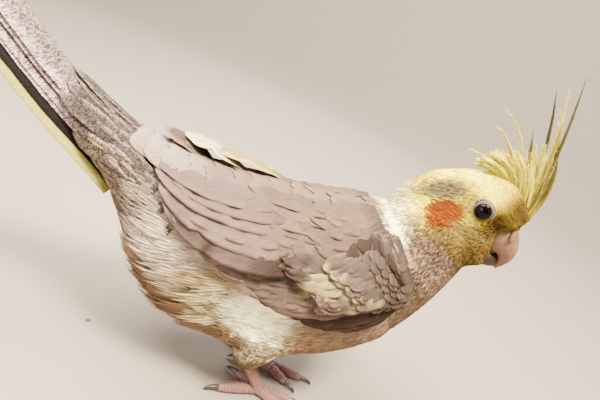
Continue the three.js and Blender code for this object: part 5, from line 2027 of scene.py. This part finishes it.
@dataclass
class Studio:
    """The pale floor that sweeps up behind, the soft lights, and the camera of the photograph."""

    anatomy: Anatomy
    focal_mm: float = 27.0
    sensor_mm: float = 36.0
    roll: float = 26.0
    depression: float = 19.2
    yaw: float = 12.0
    height: float = 131.0
    along: float = 11.6
    distance: float = 153.0
    floor_radius: float = 0.9
    sweep_radius: float = 0.7

    # Each lamp's name, place, size, watts and colour, and what it looks at, in metres.
    lamps = (
        ("key", (0.22, -0.34, 0.85), 0.24, 48.0, "#fff1dc", (0.02, 0, 0.07)),
        ("top", (-0.1, -0.03, 0.46), 0.4, 16.0, "#fff6e4", (0.02, 0, 0.1)),
        ("catch", (-0.12, -0.55, 0.5), 0.03, 0.5, "#ffffff", (0.07, 0, 0.1)),
        ("fill", (-0.55, -0.6, 0.2), 0.6, 9.0, "#f6f4f6", (0.02, 0, 0.07)),
        ("rim", (0.1, 0.7, 0.6), 0.4, 9.0, "#ffffff", (0.02, 0, 0.07)),
        ("wall", (0.3, 0.4, 1.1), 0.8, 60.0, "#fffaf2", (0.6, 1.7, 0.5)),
    )

    def camera(self) -> None:
        """Sets the camera: where it stands, which way it looks and how far it is rolled."""
        yaw, down, roll = (math.radians(d) for d in (self.yaw, self.depression, self.roll))
        right = np.array((math.cos(yaw), -math.sin(yaw), 0.0))
        ahead = np.array((math.sin(yaw), math.cos(yaw), 0.0))
        forward = ahead * math.cos(down) - np.array((0, 0, math.sin(down)))
        below = -np.array((0, 0, math.cos(down))) - ahead * math.sin(down)
        image_right = right * math.cos(roll) - below * math.sin(roll)
        image_down = right * math.sin(roll) + below * math.cos(roll)
        place = (np.array((0, 0, self.height)) - self.along * right - self.distance * ahead
                 + self.anatomy.shift) * MM
        data = bpy.data.cameras.new("camera")
        data.lens, data.sensor_width, data.sensor_fit = self.focal_mm, self.sensor_mm, "HORIZONTAL"
        data.clip_start = 0.005
        made = linked("camera", data)
        matrix = Matrix.Identity(4)
        for column, axis in enumerate((image_right, -image_down, -forward)):
            for row in range(3):
                matrix[row][column] = axis[row]
        matrix.translation = Vector(place)
        made.matrix_world = matrix
        bpy.context.scene.camera = made

    def floor(self) -> None:
        """A round floor whose rim sweeps up, so that no horizon shows from any side."""
        flat, sweep = self.floor_radius, self.sweep_radius
        profile = [(r, 0.0) for r in np.linspace(0.001, flat, 24)]
        profile += [(flat + sweep * math.sin(a), sweep * (1 - math.cos(a)))
                    for a in np.linspace(0.08, math.pi / 2, 16)]
        profile += [(flat + sweep, z) for z in (1.0, 1.4, 1.8)]
        t = np.linspace(0, 2 * math.pi, 96, endpoint=False)
        rings = np.array([[(r * math.cos(a), r * math.sin(a), z) for a in t] for r, z in profile])
        m, n, _ = rings.shape
        i, j = (g.ravel() for g in np.meshgrid(np.arange(m - 1), np.arange(n), indexing="ij"))
        a, b = i * n + j, i * n + (j + 1) % n
        faces = np.concatenate((np.stack((a, a + n, b + n), 1), np.stack((a, b + n, b), 1)))
        mesh = bpy.data.meshes.new("floor")
        mesh.from_pydata(rings.reshape(-1, 3).tolist(), [], faces.tolist())
        mesh.shade_smooth()
        # Board under matt paint: plain and dull, a trace of unevenness from the roller.
        material, tree, shader = started("matt_painted_board", {"Roughness": 0.85})
        toned(tree, shader, tuple(linear("#897e70")), 30.0, 4.0, (0.97, 1.0))
        mesh.materials.append(material)
        made = linked("floor", mesh)

    @staticmethod
    def light(name: str, place: tuple, size: float, power: float, colour: str, aim: tuple) -> None:
        """A round area light, by a row of lamps."""
        data = bpy.data.lights.new(name, "AREA")
        data.shape, data.size, data.energy = "DISK", size, power
        data.color = tuple(linear(colour))
        made = linked(name, data)
        made.location = place
        made.rotation_euler = (Vector(aim) - Vector(place)).to_track_quat("-Z", "Y").to_euler()

    def build(self) -> None:
        """Sets up the floor, the lights, the world and the camera."""
        self.floor()
        for lamp in self.lamps:
            self.light(*lamp)
        world = bpy.data.worlds.new("studio")
        bpy.context.scene.world = world
        world.use_nodes = True
        background = world.node_tree.nodes["Background"]
        background.inputs["Color"].default_value = (*linear("#e6e8ec"), 1)
        background.inputs["Strength"].default_value = 0.6
        self.camera()


def main() -> None:
    """Builds the bird from the inside out, then its studio."""
    logging.basicConfig(level=logging.INFO, format="%(message)s")
    anatomy = Anatomy.found()
    down = Contour().made()
    vane = Vane().made()
    horn = Horn("bill_keratin", 0.5, 2.2, 0.07, shade=0.2, subsurface=0.15, specular=0.3).made()
    bare = Horn("bare_facial_skin", 0.7, 0.6, 0.1, shade=0.2, subsurface=0.1, specular=0.15).made()
    scaled = Horn("scaled_foot_skin", 0.55, 0.7, 0.12, subsurface=0.15).made()
    keratin = Horn("claw_keratin", 0.32, 1.5, 0.03).made()
    wet = Horn("wet_eye", 0.04, 3.0, 0.0, shade=0.0, coat=0.03, specular=0.09).made()
    skin = Skin(anatomy)
    skin.build(down)
    Coat(anatomy, skin, down).build()
    for side in Side:
        Wing(anatomy, side).build(vane)
        Eye(anatomy, side).build(wet, bare)
        Leg(anatomy, side).build(scaled, keratin)
        Scutes(anatomy).build(Leg(anatomy, side), scaled)
    Mantle(anatomy).build(vane)
    Tail(anatomy).build(vane)
    Crest(anatomy).build(vane)
    Bill(anatomy).build(horn, bare)
    Studio(anatomy).build()


if __name__ == "__main__":
    main()
